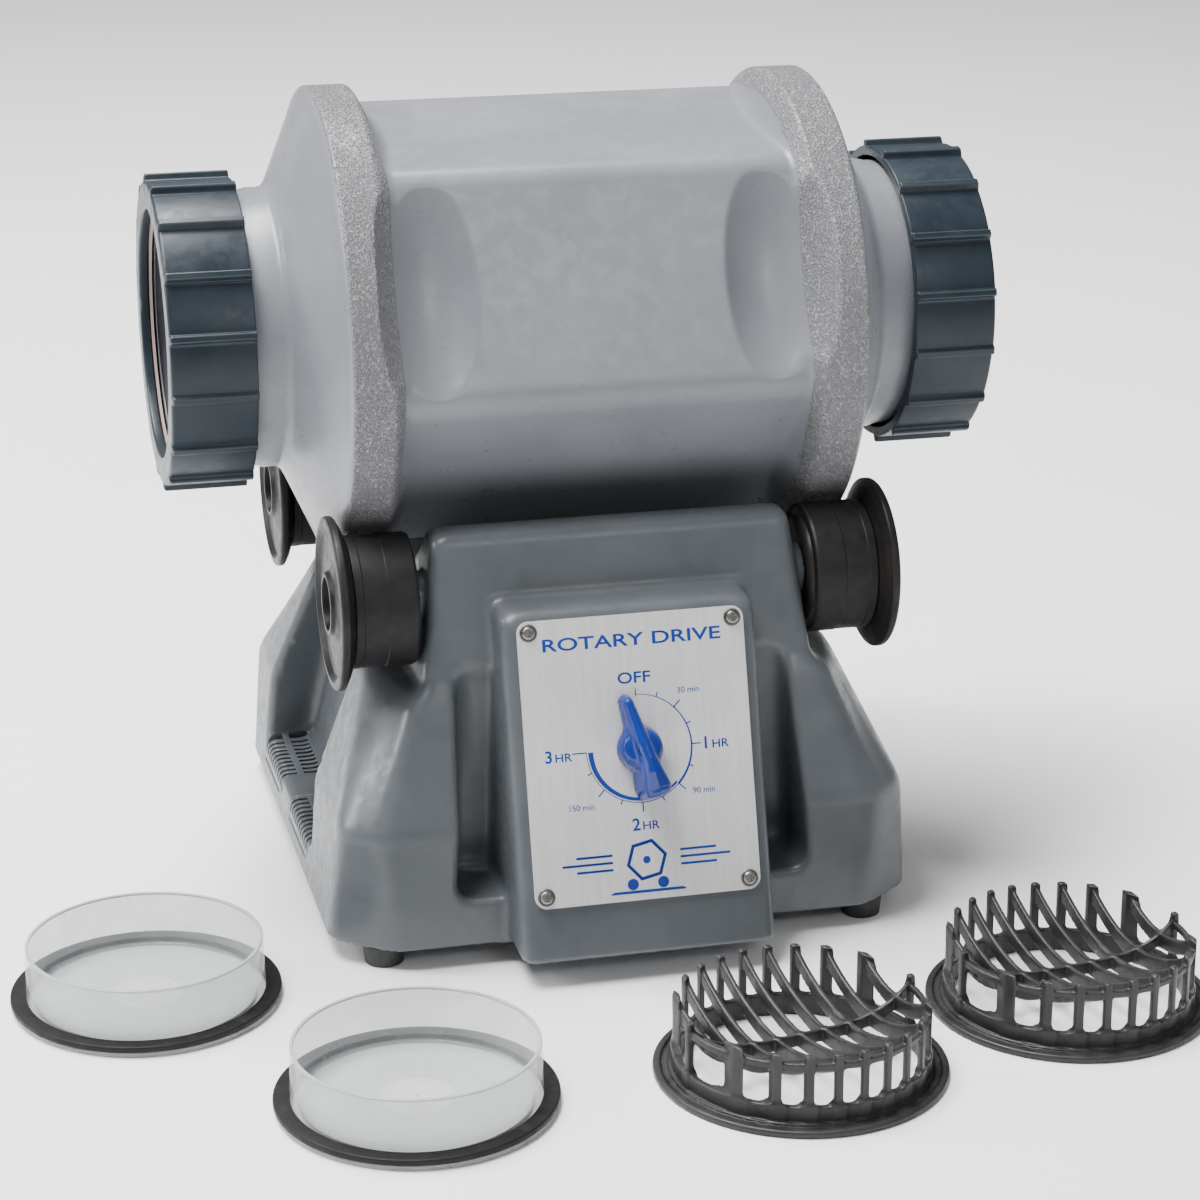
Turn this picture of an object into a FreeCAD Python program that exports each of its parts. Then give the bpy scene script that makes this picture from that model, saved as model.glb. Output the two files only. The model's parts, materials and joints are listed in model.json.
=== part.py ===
"""Rotary rock tumbler with a hexagonal drum, two screw caps, a powered roller base and loose closures.

Millimetres. +X runs along the drum axis, +Y to the back, +Z up. The origin is on the floor,
straight below the middle of the drum. The timer and its plate face -Y.
"""
import FreeCAD, Part
import math
import os

from FreeCAD import Vector

# ---- driving sizes -------------------------------------------------------------------------
RUN_FIT = 0.05           # radial clearance of a shaft in its bearing
AXIS_Z = 247.0           # drum axis above the floor

RING_R = 102.0           # textured running rings of the drum
RING_IN = 91.0           # |x| where a ring starts
RING_OUT = 109.3         # |x| where a ring ends
RING_LIP = 2.4           # rounded outer corner of a ring
FLANK_SLOPE = 2.0        # rise of the flank between the hexagon and a ring
FLANK_FOOT_R = 73.0      # the flank starts inside the hexagon at this radius
HEX_R = 97.6             # corner radius of the hexagonal body before its edges are rounded
HEX_ROUND = 14.0
HEX_TURN = 50.9          # angle of the first hexagon corner, from the front upwards, degrees
DRUM_WALL = 4.0
CONE_END = 128.0         # |x| where the end cone meets the neck
NECK_R = 60.0
NECK_END = 172.0
NECK_THREAD_R = 58.8
NECK_BORE = 50.6
SCOOP_FACES = (0, 3)     # faces with finger scoops, counted from the front one upwards
SCOOP_DEPTH = 8.0
SCOOP_TUBE_R = 25.0
SCOOP_SWEEP_R = 105.0
SCOOP_X = 71.5

CAP_IN = 142.6
CAP_OUT = 178.8
CAP_R = 64.6
CAP_RIB_R = 67.8
CAP_BORE = 61.0
CAP_LIP_BORE = 53.0
CAP_LIP = 4.0
CAP_RIBS = 16
CAP_RIB_W = 3.0
WASHER_X = 173.2
WASHER_T = 1.1

ROLLER_R = 28.0
ROLLER_GAP = 0.3         # between a roller and the ring it carries
ROLLER_Y = 85.3
ROLLER_IN = 85.4
ROLLER_OUT = 112.6
HUB_R = 23.0
FLANGE_R = 36.6
SHAFT_R = 4.0
SHAFT_END = 116.5
BEARING_R = 8.0
BEARING_IN = 74.0
BEARING_OUT = 84.4

FOOT_H = 9.0
FOOT_R = 9.2
FOOT_X = 105.5
FOOT_Y = 121.0
BASE_TOP = 178.5
SHOULDER_Z = 115.0
KINK_Z = 60.0
BASE_WALL = 4.0
CRADLE_R = 106.0
REAR_Y = 136.0           # rear face of the base
# plan of the base at the floor, kink and shoulder: (x, y) of a front corner, then of a side corner
FLOOR_PLAN = ((103.0, REAR_Y), (128.0, 116.0))
KINK_PLAN = ((107.0, REAR_Y), (123.5, 121.5))
SHOULDER_PLAN = ((88.5, 114.0), (101.0, 77.0))
CORE_DROP = 15.0         # the tapered top starts this far below the shoulder
CORE_LOW = (86.3, 117.0)     # half sizes of the tapered top at its foot
CORE_HIGH = (77.0, 97.0)     # and at its top
CORE_ROUND = 5.0
LEDGE_Z = 27.0
VALLEY_FRONT = -57.0     # the side ledge runs between these two y values
VALLEY_REAR = 78.0
VALLEY_FRONT_LEAN = 8.0  # how far the leg faces lean over the ledge by the shoulder
VALLEY_REAR_LEAN = 12.0
VALLEY_X_LOW = 104.0
VALLEY_X_HIGH = 84.0
OUTSIDE = 145.0          # beyond any side face of the base
POCKET_Z = (30.0, 124.0)     # deep recess on each side of the front block
POCKET_X = (76.4, 71.0)      # its outer side at those heights
POCKET_Y = (-104.0, -109.0)  # its back at those heights
POCKET_ROUND = 6.0
LOUVRE_PITCH = 4.9
LOUVRE_W = 2.4
LOUVRES = 10             # slots in a group
LOUVRE_GROUPS = (-23.0, 53.0)
LOUVRE_ROWS = ((107.5, 115.5, 20.0), (118.5, 131.0, 21.5))   # near |x|, far |x|, bottom
BOTTOM_T = 3.0
SCREW_POST_R = 5.0
SCREW_POST_FRONT = 26.5      # heights of the posts for the bottom screws
SCREW_POST_REAR = 23.5
SCREW_POST_X = 62.0
SCREW_POST_Y = 128.0
SIDE_POST = (114.0, 15.0)
SCREW_R = 1.5
SCREW_END = 22.0
SCREW_HEAD_R = 3.2
SCREW_HEAD_H = 1.6
FOOT_SCREW_R = 1.8
FOOT_SCREW_END = 18.0
BEARING_BOSS_R = 11.0
BEARING_BOSS_END = 80.0

FACE_LEAN = 17.0         # the front block leans back by this many degrees
BLOCK_HALF = 54.6
BLOCK_TOP = 151.0
BLOCK_LOW = 11.5
BLOCK_BACK = -80.0
BLOCK_ROUND = 7.0
PLATE_W = 96.6
PLATE_H = 119.1
PLATE_T = 1.2
PLATE_CORNER = 5.0
PLATE_MID_Z = 90.6
PLATE_MID_Y = -141.7
DIAL_UP = 3.5            # dial centre above the middle of the plate
PLATE_SCREW_INSET = 4.8
PLATE_SCREW_R = 1.3
PLATE_SCREW_HEAD_R = 2.8
PLATE_SCREW_HEAD_H = 1.5
SLEEVE_R = 4.8           # threaded sleeve of the timer, through the plate
SLEEVE_HOLE_R = 5.0
TIMER_SHAFT_R = 3.0
TIMER_SHAFT_END = 14.5
KNOB_REST = 14.0         # the pointer rests this far anticlockwise of straight up, degrees
KNOB_TOP = 18.5
KNOB_HUB_R = 10.0

MOTOR_Y = 25.0
MOTOR_Z = 66.0
PINION_R = 5.0
WHEEL_1_R = 25.0
PINION_2_R = 6.0
WHEEL_2_R = 24.0
GEAR_GAP = 0.3
DRIVE_PULLEY_R = 9.2
DRIVEN_PULLEY_R = 11.5
PULLEY_X = 58.0
PULLEY_W = 10.0
BELT_T = 2.0
BELT_GAP = 0.3
MOTOR_SHAFT_R = 3.0
BRACKET_SCREW_R = 2.0
CASE_X = (4.0, 31.0)     # gearbox case
COVER_X = (31.0, 34.0)
CASE_Y = (-59.0, 35.0)
CASE_Z = (35.0, 113.0)
CASE_WALL = 3.0
CASE_ROUND = 6.0
STACK_X = (-44.0, -14.0)     # laminated stack of the motor
STACK_Y = (-5.0, 55.0)
STACK_Z = (20.0, 94.0)
COIL_Y = (10.0, 40.0)    # leg of the stack that the coil is wound on
COIL_Z = (32.0, 47.0)    # window above that leg
ROTOR_R = 15.0
ROTOR_BORE_R = 15.5
FAN_R = 27.0
FAN_X = (-64.0, -52.0)
FAN_BLADES = 8

INLET_X = -70.0          # power inlet in the rear face
INLET_Z = 36.0
INLET_HALF = (13.5, 10.0)
INLET_DEPTH = 20.0
INLET_FLANGE_HALF = (25.0, 12.0)
INLET_FLANGE_T = 2.5
INLET_SCREW_X = 20.0
INLET_SCREW_R = 1.3

ROLLER_DROP = math.sqrt((RING_R + ROLLER_R + ROLLER_GAP) ** 2 - ROLLER_Y ** 2)
ROLLER_Z = AXIS_Z - ROLLER_DROP
LAY_Y = MOTOR_Y - PINION_R - WHEEL_1_R - GEAR_GAP
OUT_ANGLE = math.radians(36)
OUT_SPAN = PINION_2_R + WHEEL_2_R + GEAR_GAP
OUT_Y = LAY_Y - OUT_SPAN * math.cos(OUT_ANGLE)
OUT_Z = MOTOR_Z + OUT_SPAN * math.sin(OUT_ANGLE)

# floor places of the loose closures: x, y, and for the strainers the turn of their blades in degrees
LENS_PLACES = {"left": (-206.8, -132.9), "front": (-115.5, -249.2)}
STRAINER_PLACES = {"front": (36.4, -257.6, 12.0), "right": (161.3, -224.5, 8.5)}
LENS_R = 48.5
LENS_FLANGE_R = 55.0
LENS_H = 26.0
LENS_WALL = 1.8
LENS_FLANGE_T = 2.2
GASKET_R = 55.6
GASKET_T = 2.6
STRAINER_FLANGE_R = 58.5
STRAINER_FLANGE_T = 3.0
STRAINER_CAGE_R = 50.8
STRAINER_WALL = 3.0
STRAINER_BAND_H = 9.5
STRAINER_TOP = 30.5      # tips of the blades and tops of the posts
STRAINER_DIP = 15.5      # top of the middle blade at its lowest
STRAINER_DEPTH = 6.5     # depth of a blade
STRAINER_BLADES = 9
STRAINER_PITCH = 10.7
STRAINER_BLADE_T = 2.0
STRAINER_POST_W = 3.2
STRAINER_HOOP_Z = (24.0, 27.0)   # half hoop that ties the front posts together


# ---- small helpers -------------------------------------------------------------------------
def box(x0, x1, y0, y1, z0, z1):
    return Part.makeBox(x1 - x0, y1 - y0, z1 - z0, Vector(x0, y0, z0))


def rod_x(radius, x0, x1, y=0.0, z=0.0):
    """Cylinder along X from x0 to x1."""
    return Part.makeCylinder(radius, x1 - x0, Vector(x0, y, z), Vector(1, 0, 0))


def tube_x(outer, inner, x0, x1, y=0.0, z=0.0):
    return rod_x(outer, x0, x1, y, z).cut(rod_x(inner, x0 - 1, x1 + 1, y, z))


def rod_z(radius, z0, z1, x=0.0, y=0.0):
    return Part.makeCylinder(radius, z1 - z0, Vector(x, y, z0))


def tube_z(outer, inner, z0, z1, x=0.0, y=0.0):
    return rod_z(outer, z0, z1, x, y).cut(rod_z(inner, z0 - 1, z1 + 1, x, y))


def fuse(shapes):
    first = shapes[0]
    if len(shapes) == 1:
        return first
    return first.fuse(shapes[1:]).removeSplitter()


def turned_x(points, y=0.0, z=0.0):
    """Solid of revolution about an X axis through (y, z); points are (x, radius)."""
    wire = Part.makePolygon([Vector(x, 0, r) for x, r in points + points[:1]])
    solid = Part.Face(wire).revolve(Vector(0, 0, 0), Vector(1, 0, 0), 360)
    solid.translate(Vector(0, y, z))
    return solid


def mirror_x(shape):
    return shape.mirror(Vector(0, 0, 0), Vector(1, 0, 0))


def prism_x(points, x0, x1):
    """Polygon of (y, z) points pushed along X."""
    wire = Part.makePolygon([Vector(x0, y, z) for y, z in points + points[:1]])
    return Part.Face(wire).extrude(Vector(x1 - x0, 0, 0))


def stack(sections):
    """Straight-sided solid through horizontal sections, each (z, [(x, y), ...])."""
    wires = []
    for z, points in sections:
        wires.append(Part.makePolygon([Vector(x, y, z) for x, y in points + points[:1]]))
    return Part.makeLoft(wires, True, True)


def round_edges(shape, radius, wanted):
    """Fillet the edges whose middle point satisfies wanted(x, y, z)."""
    edges = []
    for edge in shape.Edges:
        mid = edge.valueAt((edge.FirstParameter + edge.LastParameter) / 2)
        if wanted(mid.x, mid.y, mid.z):
            edges.append(edge)
    return shape.makeFillet(radius, edges)


def save(name, shape):
    shape.exportStep("parts/" + name + ".step")


# ---- drum ----------------------------------------------------------------------------------
def hexagon(radius, half_length, rounding):
    points = []
    for corner in range(6):
        angle = math.radians(HEX_TURN + 60 * corner)
        points.append((-radius * math.cos(angle), radius * math.sin(angle)))
    body = prism_x(points, -half_length, half_length)
    return round_edges(body, rounding, lambda x, y, z: abs(x) < 1)


def scoops(extra):
    """Four ring segments that press the finger scoops into the front and rear faces."""
    apothem = HEX_R * math.cos(math.radians(30))
    reach = apothem - SCOOP_DEPTH + SCOOP_SWEEP_R + SCOOP_TUBE_R
    cutters = []
    for face in SCOOP_FACES:
        angle = math.radians(HEX_TURN - 30 + 60 * face)
        for side in (-1, 1):
            centre = Vector(side * SCOOP_X, -reach * math.cos(angle), reach * math.sin(angle))
            cutters.append(Part.makeTorus(SCOOP_SWEEP_R, SCOOP_TUBE_R + extra, centre, Vector(1, 0, 0)))
    return cutters


def drum_ends(wall):
    """Flank, ring, cone and neck at each end; wall 0 gives the outside, otherwise the space inside."""
    def flank_x(radius):
        return RING_IN - (RING_R - radius) / FLANK_SLOPE + wall * math.hypot(1, 1 / FLANK_SLOPE)

    lean = math.atan2(RING_R - NECK_R, CONE_END - RING_OUT)
    slip = wall * math.sin(lean)
    top = RING_R - wall
    bore = NECK_R if wall == 0 else NECK_BORE
    lip = RING_LIP if wall == 0 else 0.0
    cone_x = RING_OUT - slip
    cone_end = cone_x + (top - lip - bore) * (CONE_END - RING_OUT) / (RING_R - RING_LIP - NECK_R)
    points = [
        (0.0, 0.0),
        (0.0, FLANK_FOOT_R),
        (flank_x(FLANK_FOOT_R), FLANK_FOOT_R),
        (flank_x(top), top),
        (cone_x - lip, top),
        (cone_x, top - lip),
        (cone_end, bore),
        (NECK_END + wall, bore),
        (NECK_END + wall, 0.0),
    ]
    right = turned_x(points)
    return [right, mirror_x(right)]


def make_drum():
    outside = fuse([hexagon(HEX_R, RING_IN + 3, HEX_ROUND)] + drum_ends(0.0))
    outside = outside.cut(scoops(0.0))
    inner_hex = hexagon(HEX_R - DRUM_WALL / math.cos(math.radians(30)), RING_IN + 5, HEX_ROUND - DRUM_WALL)
    inside = fuse([inner_hex.cut(scoops(DRUM_WALL))] + drum_ends(DRUM_WALL))
    shell = outside.cut(inside)
    thread_zone = tube_x(NECK_R + 2, NECK_THREAD_R, CAP_IN - 2, NECK_END + 1)
    shell = shell.cut([thread_zone, mirror_x(thread_zone)])
    beads = []
    for turn in range(3):
        bead = tube_x(NECK_R + 0.3, NECK_THREAD_R - 1, 148.0 + 8.0 * turn, 150.5 + 8.0 * turn)
        beads += [bead, mirror_x(bead)]
    shell = fuse([shell] + beads)
    shell.translate(Vector(0, 0, AXIS_Z))
    return shell


def split_drum(shell):
    """The hexagonal barrel between the rings, and the right end with its ring, cone and neck."""
    far = NECK_END + 10
    wide = RING_R + 10
    barrel = box(-RING_IN, RING_IN, -wide, wide, AXIS_Z - wide, AXIS_Z + wide)
    end = box(RING_IN, far, -wide, wide, AXIS_Z - wide, AXIS_Z + wide)
    return shell.common(barrel), shell.common(end)


def make_cap():
    body = turned_x([
        (CAP_IN, CAP_BORE),
        (CAP_IN, CAP_R),
        (CAP_OUT - 1.5, CAP_R),
        (CAP_OUT, CAP_R - 1.5),
        (CAP_OUT, CAP_LIP_BORE + 0.8),
        (CAP_OUT - 0.8, CAP_LIP_BORE),
        (CAP_OUT - CAP_LIP, CAP_LIP_BORE),
        (CAP_OUT - CAP_LIP, CAP_BORE),
    ])
    rib = box(CAP_IN, CAP_OUT, -CAP_RIB_W / 2, CAP_RIB_W / 2, CAP_R - 1.5, CAP_RIB_R)
    rib = round_edges(rib, 1.2, lambda x, y, z: z > CAP_RIB_R - 0.1)
    ribs = []
    for i in range(CAP_RIBS):
        one = rib.copy()
        one.rotate(Vector(0, 0, 0), Vector(1, 0, 0), 360.0 / CAP_RIBS * (i + 0.5))
        ribs.append(one)
    cap = fuse([body] + ribs)
    cap.translate(Vector(0, 0, AXIS_Z))
    return cap


def make_slip_washer():
    return tube_x(CAP_BORE - 0.5, NECK_BORE + 1.2, WASHER_X, WASHER_X + WASHER_T, 0, AXIS_Z)


# ---- base shell ----------------------------------------------------------------------------
def outline(front, side):
    """Eight-sided plan: front is the (x, y) of a front corner, side that of a side corner."""
    ax, ay = front
    bx, by = side
    return [(ax, -ay), (bx, -by), (bx, by), (ax, ay), (-ax, ay), (-bx, by), (-bx, -by), (-ax, -ay)]


def rectangle(x, y):
    return [(x, -y), (x, y), (-x, y), (-x, -y)]


def block_points(inset):
    """Front block seen from the side, as (y, z)."""
    lean = math.tan(math.radians(FACE_LEAN))
    shift = inset / math.cos(math.radians(FACE_LEAN))
    face_at = PLATE_MID_Y + shift
    low = BLOCK_LOW - inset
    high = BLOCK_TOP - inset
    return [
        (face_at - (PLATE_MID_Z - low) * lean, low),
        (face_at + (high - PLATE_MID_Z) * lean, high),
        (BLOCK_BACK, high),
        (BLOCK_BACK, low),
    ]


def valley_cut(inset):
    """Space between a front and a rear leg on the right side, above the vented ledge."""
    def plan(inner, front, rear):
        return [
            (inner - inset, front - inset),
            (OUTSIDE, front - inset),
            (OUTSIDE, rear + inset),
            (inner - inset, rear + inset),
        ]

    lower = plan(VALLEY_X_LOW, VALLEY_FRONT, VALLEY_REAR)
    upper = plan(VALLEY_X_HIGH, VALLEY_FRONT + VALLEY_FRONT_LEAN, VALLEY_REAR - VALLEY_REAR_LEAN)
    return stack([(LEDGE_Z - inset, lower), (SHOULDER_Z + 1, upper)])


def pocket_cut(inset):
    """Deep recess beside the front block, right side."""
    near = BLOCK_HALF - 6.6
    front = -150.0
    sections = []
    for z, grow, side, back in zip(POCKET_Z, (-inset, inset), POCKET_X, POCKET_Y):
        far = side + inset
        deep = back + inset
        sections.append((z + grow, [(near, front), (far, front), (far, deep), (near, deep)]))
    return round_edges(stack(sections), POCKET_ROUND, lambda x, y, z: x > 60 and y > -140)


def base_body(inset):
    """Outside of the base for inset 0, the space inside it otherwise."""
    def inner(corner):
        return (corner[0] - inset, corner[1] - inset)

    def plan(corners):
        return outline(inner(corners[0]), inner(corners[1]))

    low = FOOT_H - (1 if inset else 0)
    feet = stack([(low, plan(FLOOR_PLAN)), (KINK_Z, plan(KINK_PLAN))])
    legs = feet.fuse(stack([(KINK_Z, plan(KINK_PLAN)), (SHOULDER_Z - inset, plan(SHOULDER_PLAN))]))
    core = stack([
        (SHOULDER_Z - CORE_DROP, rectangle(*inner(CORE_LOW))),
        (BASE_TOP - inset, rectangle(*inner(CORE_HIGH))),
    ])
    if inset == 0:
        core = round_edges(core, CORE_ROUND, lambda x, y, z: abs(z - BASE_TOP) < 0.1 and abs(y) > 96)
    valley = valley_cut(inset)
    pocket = pocket_cut(inset)
    body = fuse([legs, core])
    body = body.cut([valley, mirror_x(valley), pocket, mirror_x(pocket)])
    block = prism_x(block_points(inset), -BLOCK_HALF + inset, BLOCK_HALF - inset)
    if inset == 0:
        block = round_edges(block, BLOCK_ROUND, lambda x, y, z: y < -105 and z > BLOCK_LOW + 1)
    body = fuse([body, block])
    return body.cut(rod_x(CRADLE_R + inset, -150, 150, 0, AXIS_Z))


def louvres():
    """Two groups of ten slots on each side ledge, each with an inner and an outer row."""
    slots = []
    for group in LOUVRE_GROUPS:
        for i in range(LOUVRES):
            y = group + (i - (LOUVRES - 1) / 2) * LOUVRE_PITCH
            for side in (-1, 1):
                for near, far, low in LOUVRE_ROWS:
                    x0, x1 = sorted((side * near, side * far))
                    slots.append(box(x0, x1, y - LOUVRE_W / 2, y + LOUVRE_W / 2, low, LEDGE_Z + 4))
    return slots


def bottom_screw_places():
    places = [SIDE_POST, (-SIDE_POST[0], SIDE_POST[1])]
    for x in (-SCREW_POST_X, SCREW_POST_X):
        for y in (-SCREW_POST_Y, SCREW_POST_Y):
            places.append((x, y))
    return places


def on_plate(shape):
    """Move a shape made with the dial centre at the origin, x right, y up and z outwards."""
    placed = shape.copy()
    placed.rotate(Vector(0, 0, 0), Vector(1, 0, 0), 90 - FACE_LEAN)
    lean = math.radians(FACE_LEAN)
    placed.translate(Vector(0, PLATE_MID_Y + DIAL_UP * math.sin(lean), PLATE_MID_Z + DIAL_UP * math.cos(lean)))
    return placed


def plate_screw_places():
    x = PLATE_W / 2 - PLATE_SCREW_INSET
    y = PLATE_H / 2 - PLATE_SCREW_INSET
    return [(sx * x, sy * y - DIAL_UP) for sx in (-1, 1) for sy in (-1, 1)]


def housing_bosses():
    """Bearing bosses and the posts that take the bottom screws."""
    added = []
    for y in (-ROLLER_Y, ROLLER_Y):
        for side in (-1, 1):
            x0, x1 = sorted((side * BEARING_IN, side * BEARING_BOSS_END))
            added.append(rod_x(BEARING_BOSS_R, x0, x1, y, ROLLER_Z))
    for x, y in bottom_screw_places():
        top = SCREW_POST_FRONT if y < 0 else SCREW_POST_REAR
        added.append(rod_z(SCREW_POST_R, FOOT_H + BOTTOM_T, top, x, y))
    return added


def housing_holes():
    """Bearing seats, screw holes, the timer's hole and the inlet's window."""
    cuts = []
    for y in (-ROLLER_Y, ROLLER_Y):
        cuts.append(rod_x(BEARING_R, -90, 90, y, ROLLER_Z))
    for x, y in bottom_screw_places():
        cuts.append(rod_z(SCREW_R, FOOT_H, SCREW_END, x, y))
    cuts.append(on_plate(rod_z(SLEEVE_HOLE_R, -10, 5)))
    for x, y in plate_screw_places():
        cuts.append(on_plate(rod_z(PLATE_SCREW_R, -8, 5, x, y)))
    half_x = INLET_HALF[0] + 0.2
    half_z = INLET_HALF[1] + 0.2
    left = INLET_X - half_x
    right = INLET_X + half_x
    cuts.append(box(left, right, REAR_Y - 11, REAR_Y + 4, INLET_Z - half_z, INLET_Z + half_z))
    for x in inlet_screw_places():
        cuts.append(Part.makeCylinder(INLET_SCREW_R, 12, Vector(x, REAR_Y - 8, INLET_Z), Vector(0, 1, 0)))
    return cuts


def make_base_housing():
    shell = base_body(0.0)
    middle = (VALLEY_FRONT + VALLEY_REAR) / 2
    shell = round_edges(
        shell, 5.0, lambda x, y, z: abs(x) > 120 and abs(y - middle) < 5 and abs(z - LEDGE_Z) < 1)
    shell = shell.cut(base_body(BASE_WALL))
    return fuse([shell] + housing_bosses()).cut(louvres() + housing_holes())


def make_bottom_plate():
    gap = BASE_WALL + 0.3
    low = FOOT_H
    high = FOOT_H + BOTTOM_T
    (front_x, front_y), (side_x, side_y) = FLOOR_PLAN
    octagon = outline((front_x - gap, front_y - gap), (side_x - gap - 0.6, side_y - gap))
    plate = stack([(low, octagon), (high, octagon)])
    front = PLATE_MID_Y - (PLATE_MID_Z - BLOCK_LOW - BOTTOM_T) * math.tan(math.radians(FACE_LEAN)) + gap + 0.4
    tongue = box(-BLOCK_HALF + gap, BLOCK_HALF - gap, front, -100, BLOCK_LOW, BLOCK_LOW + BOTTOM_T)
    plate = fuse([plate, tongue])
    bosses = []
    cuts = []
    for x, y in foot_places().values():
        bosses.append(rod_z(SCREW_POST_R, high, FOOT_SCREW_END + 1, x * 0.985, y * 0.985))
        cuts.append(rod_z(FOOT_SCREW_R, 5.0, FOOT_SCREW_END, x, y))
    for x, y in bottom_screw_places():
        cuts.append(rod_z(SCREW_R, low - 1, high + 1, x, y))
        cuts.append(rod_z(SCREW_HEAD_R, low - 1, low + SCREW_HEAD_H, x, y))
    for x, y in bracket_screw_places():
        cuts.append(rod_z(BRACKET_SCREW_R, low - 1, high + 1, x, y))
    return fuse([plate] + bosses).cut(cuts)


def make_bottom_screws():
    screws = []
    for x, y in bottom_screw_places():
        head = rod_z(SCREW_HEAD_R, FOOT_H, FOOT_H + SCREW_HEAD_H, x, y)
        screws.append(fuse([head, rod_z(SCREW_R, FOOT_H, SCREW_END, x, y)]))
    return Part.makeCompound(screws)


def foot_places():
    places = {}
    for y, depth in ((-FOOT_Y, "front"), (FOOT_Y, "rear")):
        for x, side in ((-FOOT_X, "left"), (FOOT_X, "right")):
            places["foot_" + depth + "_" + side] = (x, y)
    return places


def make_foot(x, y):
    foot = Part.makeCone(FOOT_R - 1.0, FOOT_R, FOOT_H, Vector(x, y, 0))
    foot = round_edges(foot, 0.8, lambda px, py, pz: pz < 0.1)
    return foot.cut([rod_z(4.2, -1, 4.0, x, y), rod_z(FOOT_SCREW_R, -1, 10, x, y)])


def make_foot_screws():
    screws = []
    for x, y in foot_places().values():
        screws.append(fuse([rod_z(3.6, 2.0, 4.0, x, y), rod_z(FOOT_SCREW_R, 3.0, FOOT_SCREW_END, x, y)]))
    return Part.makeCompound(screws)


# ---- control plate, timer and knob ---------------------------------------------------------
def make_control_plate():
    plate = box(-PLATE_W / 2, PLATE_W / 2, -PLATE_H / 2 - DIAL_UP, PLATE_H / 2 - DIAL_UP, 0, PLATE_T)
    plate = round_edges(plate, PLATE_CORNER, lambda x, y, z: 0.1 < z < PLATE_T - 0.1)
    cuts = [rod_z(SLEEVE_HOLE_R, -1, 3)]
    for x, y in plate_screw_places():
        cuts.append(rod_z(PLATE_SCREW_R, -1, 3, x, y))
    return on_plate(plate.cut(cuts))


def make_plate_screws():
    screws = []
    for x, y in plate_screw_places():
        head = rod_z(PLATE_SCREW_HEAD_R, PLATE_T, PLATE_T + PLATE_SCREW_HEAD_H, x, y)
        head = round_edges(head, 1.0, lambda px, py, pz: pz > PLATE_T + PLATE_SCREW_HEAD_H - 0.1)
        slot = box(x - 3, x + 3, y - 0.35, y + 0.35, PLATE_T + 0.8, PLATE_T + 2)
        cross = box(x - 0.35, x + 0.35, y - 3, y + 3, PLATE_T + 0.8, PLATE_T + 2)
        socket = rod_z(1.5, PLATE_T + 0.7, PLATE_T + 2, x, y)
        recess = fuse([slot, cross]).common(socket)
        screws.append(on_plate(fuse([head.cut(recess), rod_z(PLATE_SCREW_R, -7, PLATE_T + 0.2, x, y)])))
    return Part.makeCompound(screws)


def make_timer_body():
    case = box(-23, 23, -23, 23, -36, -5)
    case = round_edges(case, 3.0, lambda x, y, z: -35.9 < z < -5.1)
    sleeve = rod_z(SLEEVE_R, -6, PLATE_T + 2.6)
    terminals = [box(x - 3, x + 3, -0.4, 0.4, -43, -35) for x in (-12, 0, 12)]
    body = fuse([case, sleeve] + terminals)
    return on_plate(body.cut(rod_z(TIMER_SHAFT_R + RUN_FIT, -20, 10)))


def make_timer_nut():
    corner_r = 7.6
    corners = []
    for i in range(7):
        angle = math.radians(60 * i)
        corners.append(Vector(corner_r * math.cos(angle), corner_r * math.sin(angle), PLATE_T + 0.1))
    nut = Part.Face(Part.makePolygon(corners)).extrude(Vector(0, 0, 2.0))
    return on_plate(nut.cut(rod_z(SLEEVE_R, -1, 9)))


def make_timer_shaft():
    shaft = rod_z(TIMER_SHAFT_R, -18, TIMER_SHAFT_END).cut(box(-4, 4, 1.8, 4, 5.5, 16))
    shaft.rotate(Vector(0, 0, 0), Vector(0, 0, 1), KNOB_REST)
    return on_plate(shaft)


def knob_outline(z, shrink):
    """Pointer knob plan at one height: narrow tip up, wide grip down."""
    points = [
        (-2.6 + shrink, 22.0 - shrink),
        (-1.2 + shrink / 2, 24.2 - shrink),
        (1.2 - shrink / 2, 24.2 - shrink),
        (2.6 - shrink, 22.0 - shrink),
        (4.6 - shrink, 4.0),
        (6.6 - shrink, -16.0 + shrink),
        (4.8 - shrink, -20.5 + shrink),
        (0.0, -21.8 + shrink),
        (-4.8 + shrink, -20.5 + shrink),
        (-6.6 + shrink, -16.0 + shrink),
        (-4.6 + shrink, 4.0),
    ]
    return Part.makePolygon([Vector(x, y, z) for x, y in points + points[:1]])


def make_timer_knob():
    low = PLATE_T + 0.8
    blade = Part.makeLoft([knob_outline(low, 0.0), knob_outline(KNOB_TOP, 1.4)], True, True)
    hub = Part.makeCone(KNOB_HUB_R, KNOB_HUB_R - 1.8, 10.5, Vector(0, 0, low))
    hub = round_edges(hub, 2.0, lambda x, y, z: z > low + 10)
    knob = fuse([blade, hub])
    knob = knob.cut([rod_z(8.3, 0, 4.4), rod_z(TIMER_SHAFT_R, 0, TIMER_SHAFT_END)])
    bore_top = rod_z(TIMER_SHAFT_R, 5.5, TIMER_SHAFT_END)
    flat = box(-4, 4, 1.8, 3.2, 5.5, TIMER_SHAFT_END).common(bore_top)
    knob = fuse([knob, flat])
    knob.rotate(Vector(0, 0, 0), Vector(0, 0, 1), KNOB_REST)
    return on_plate(knob)


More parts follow.
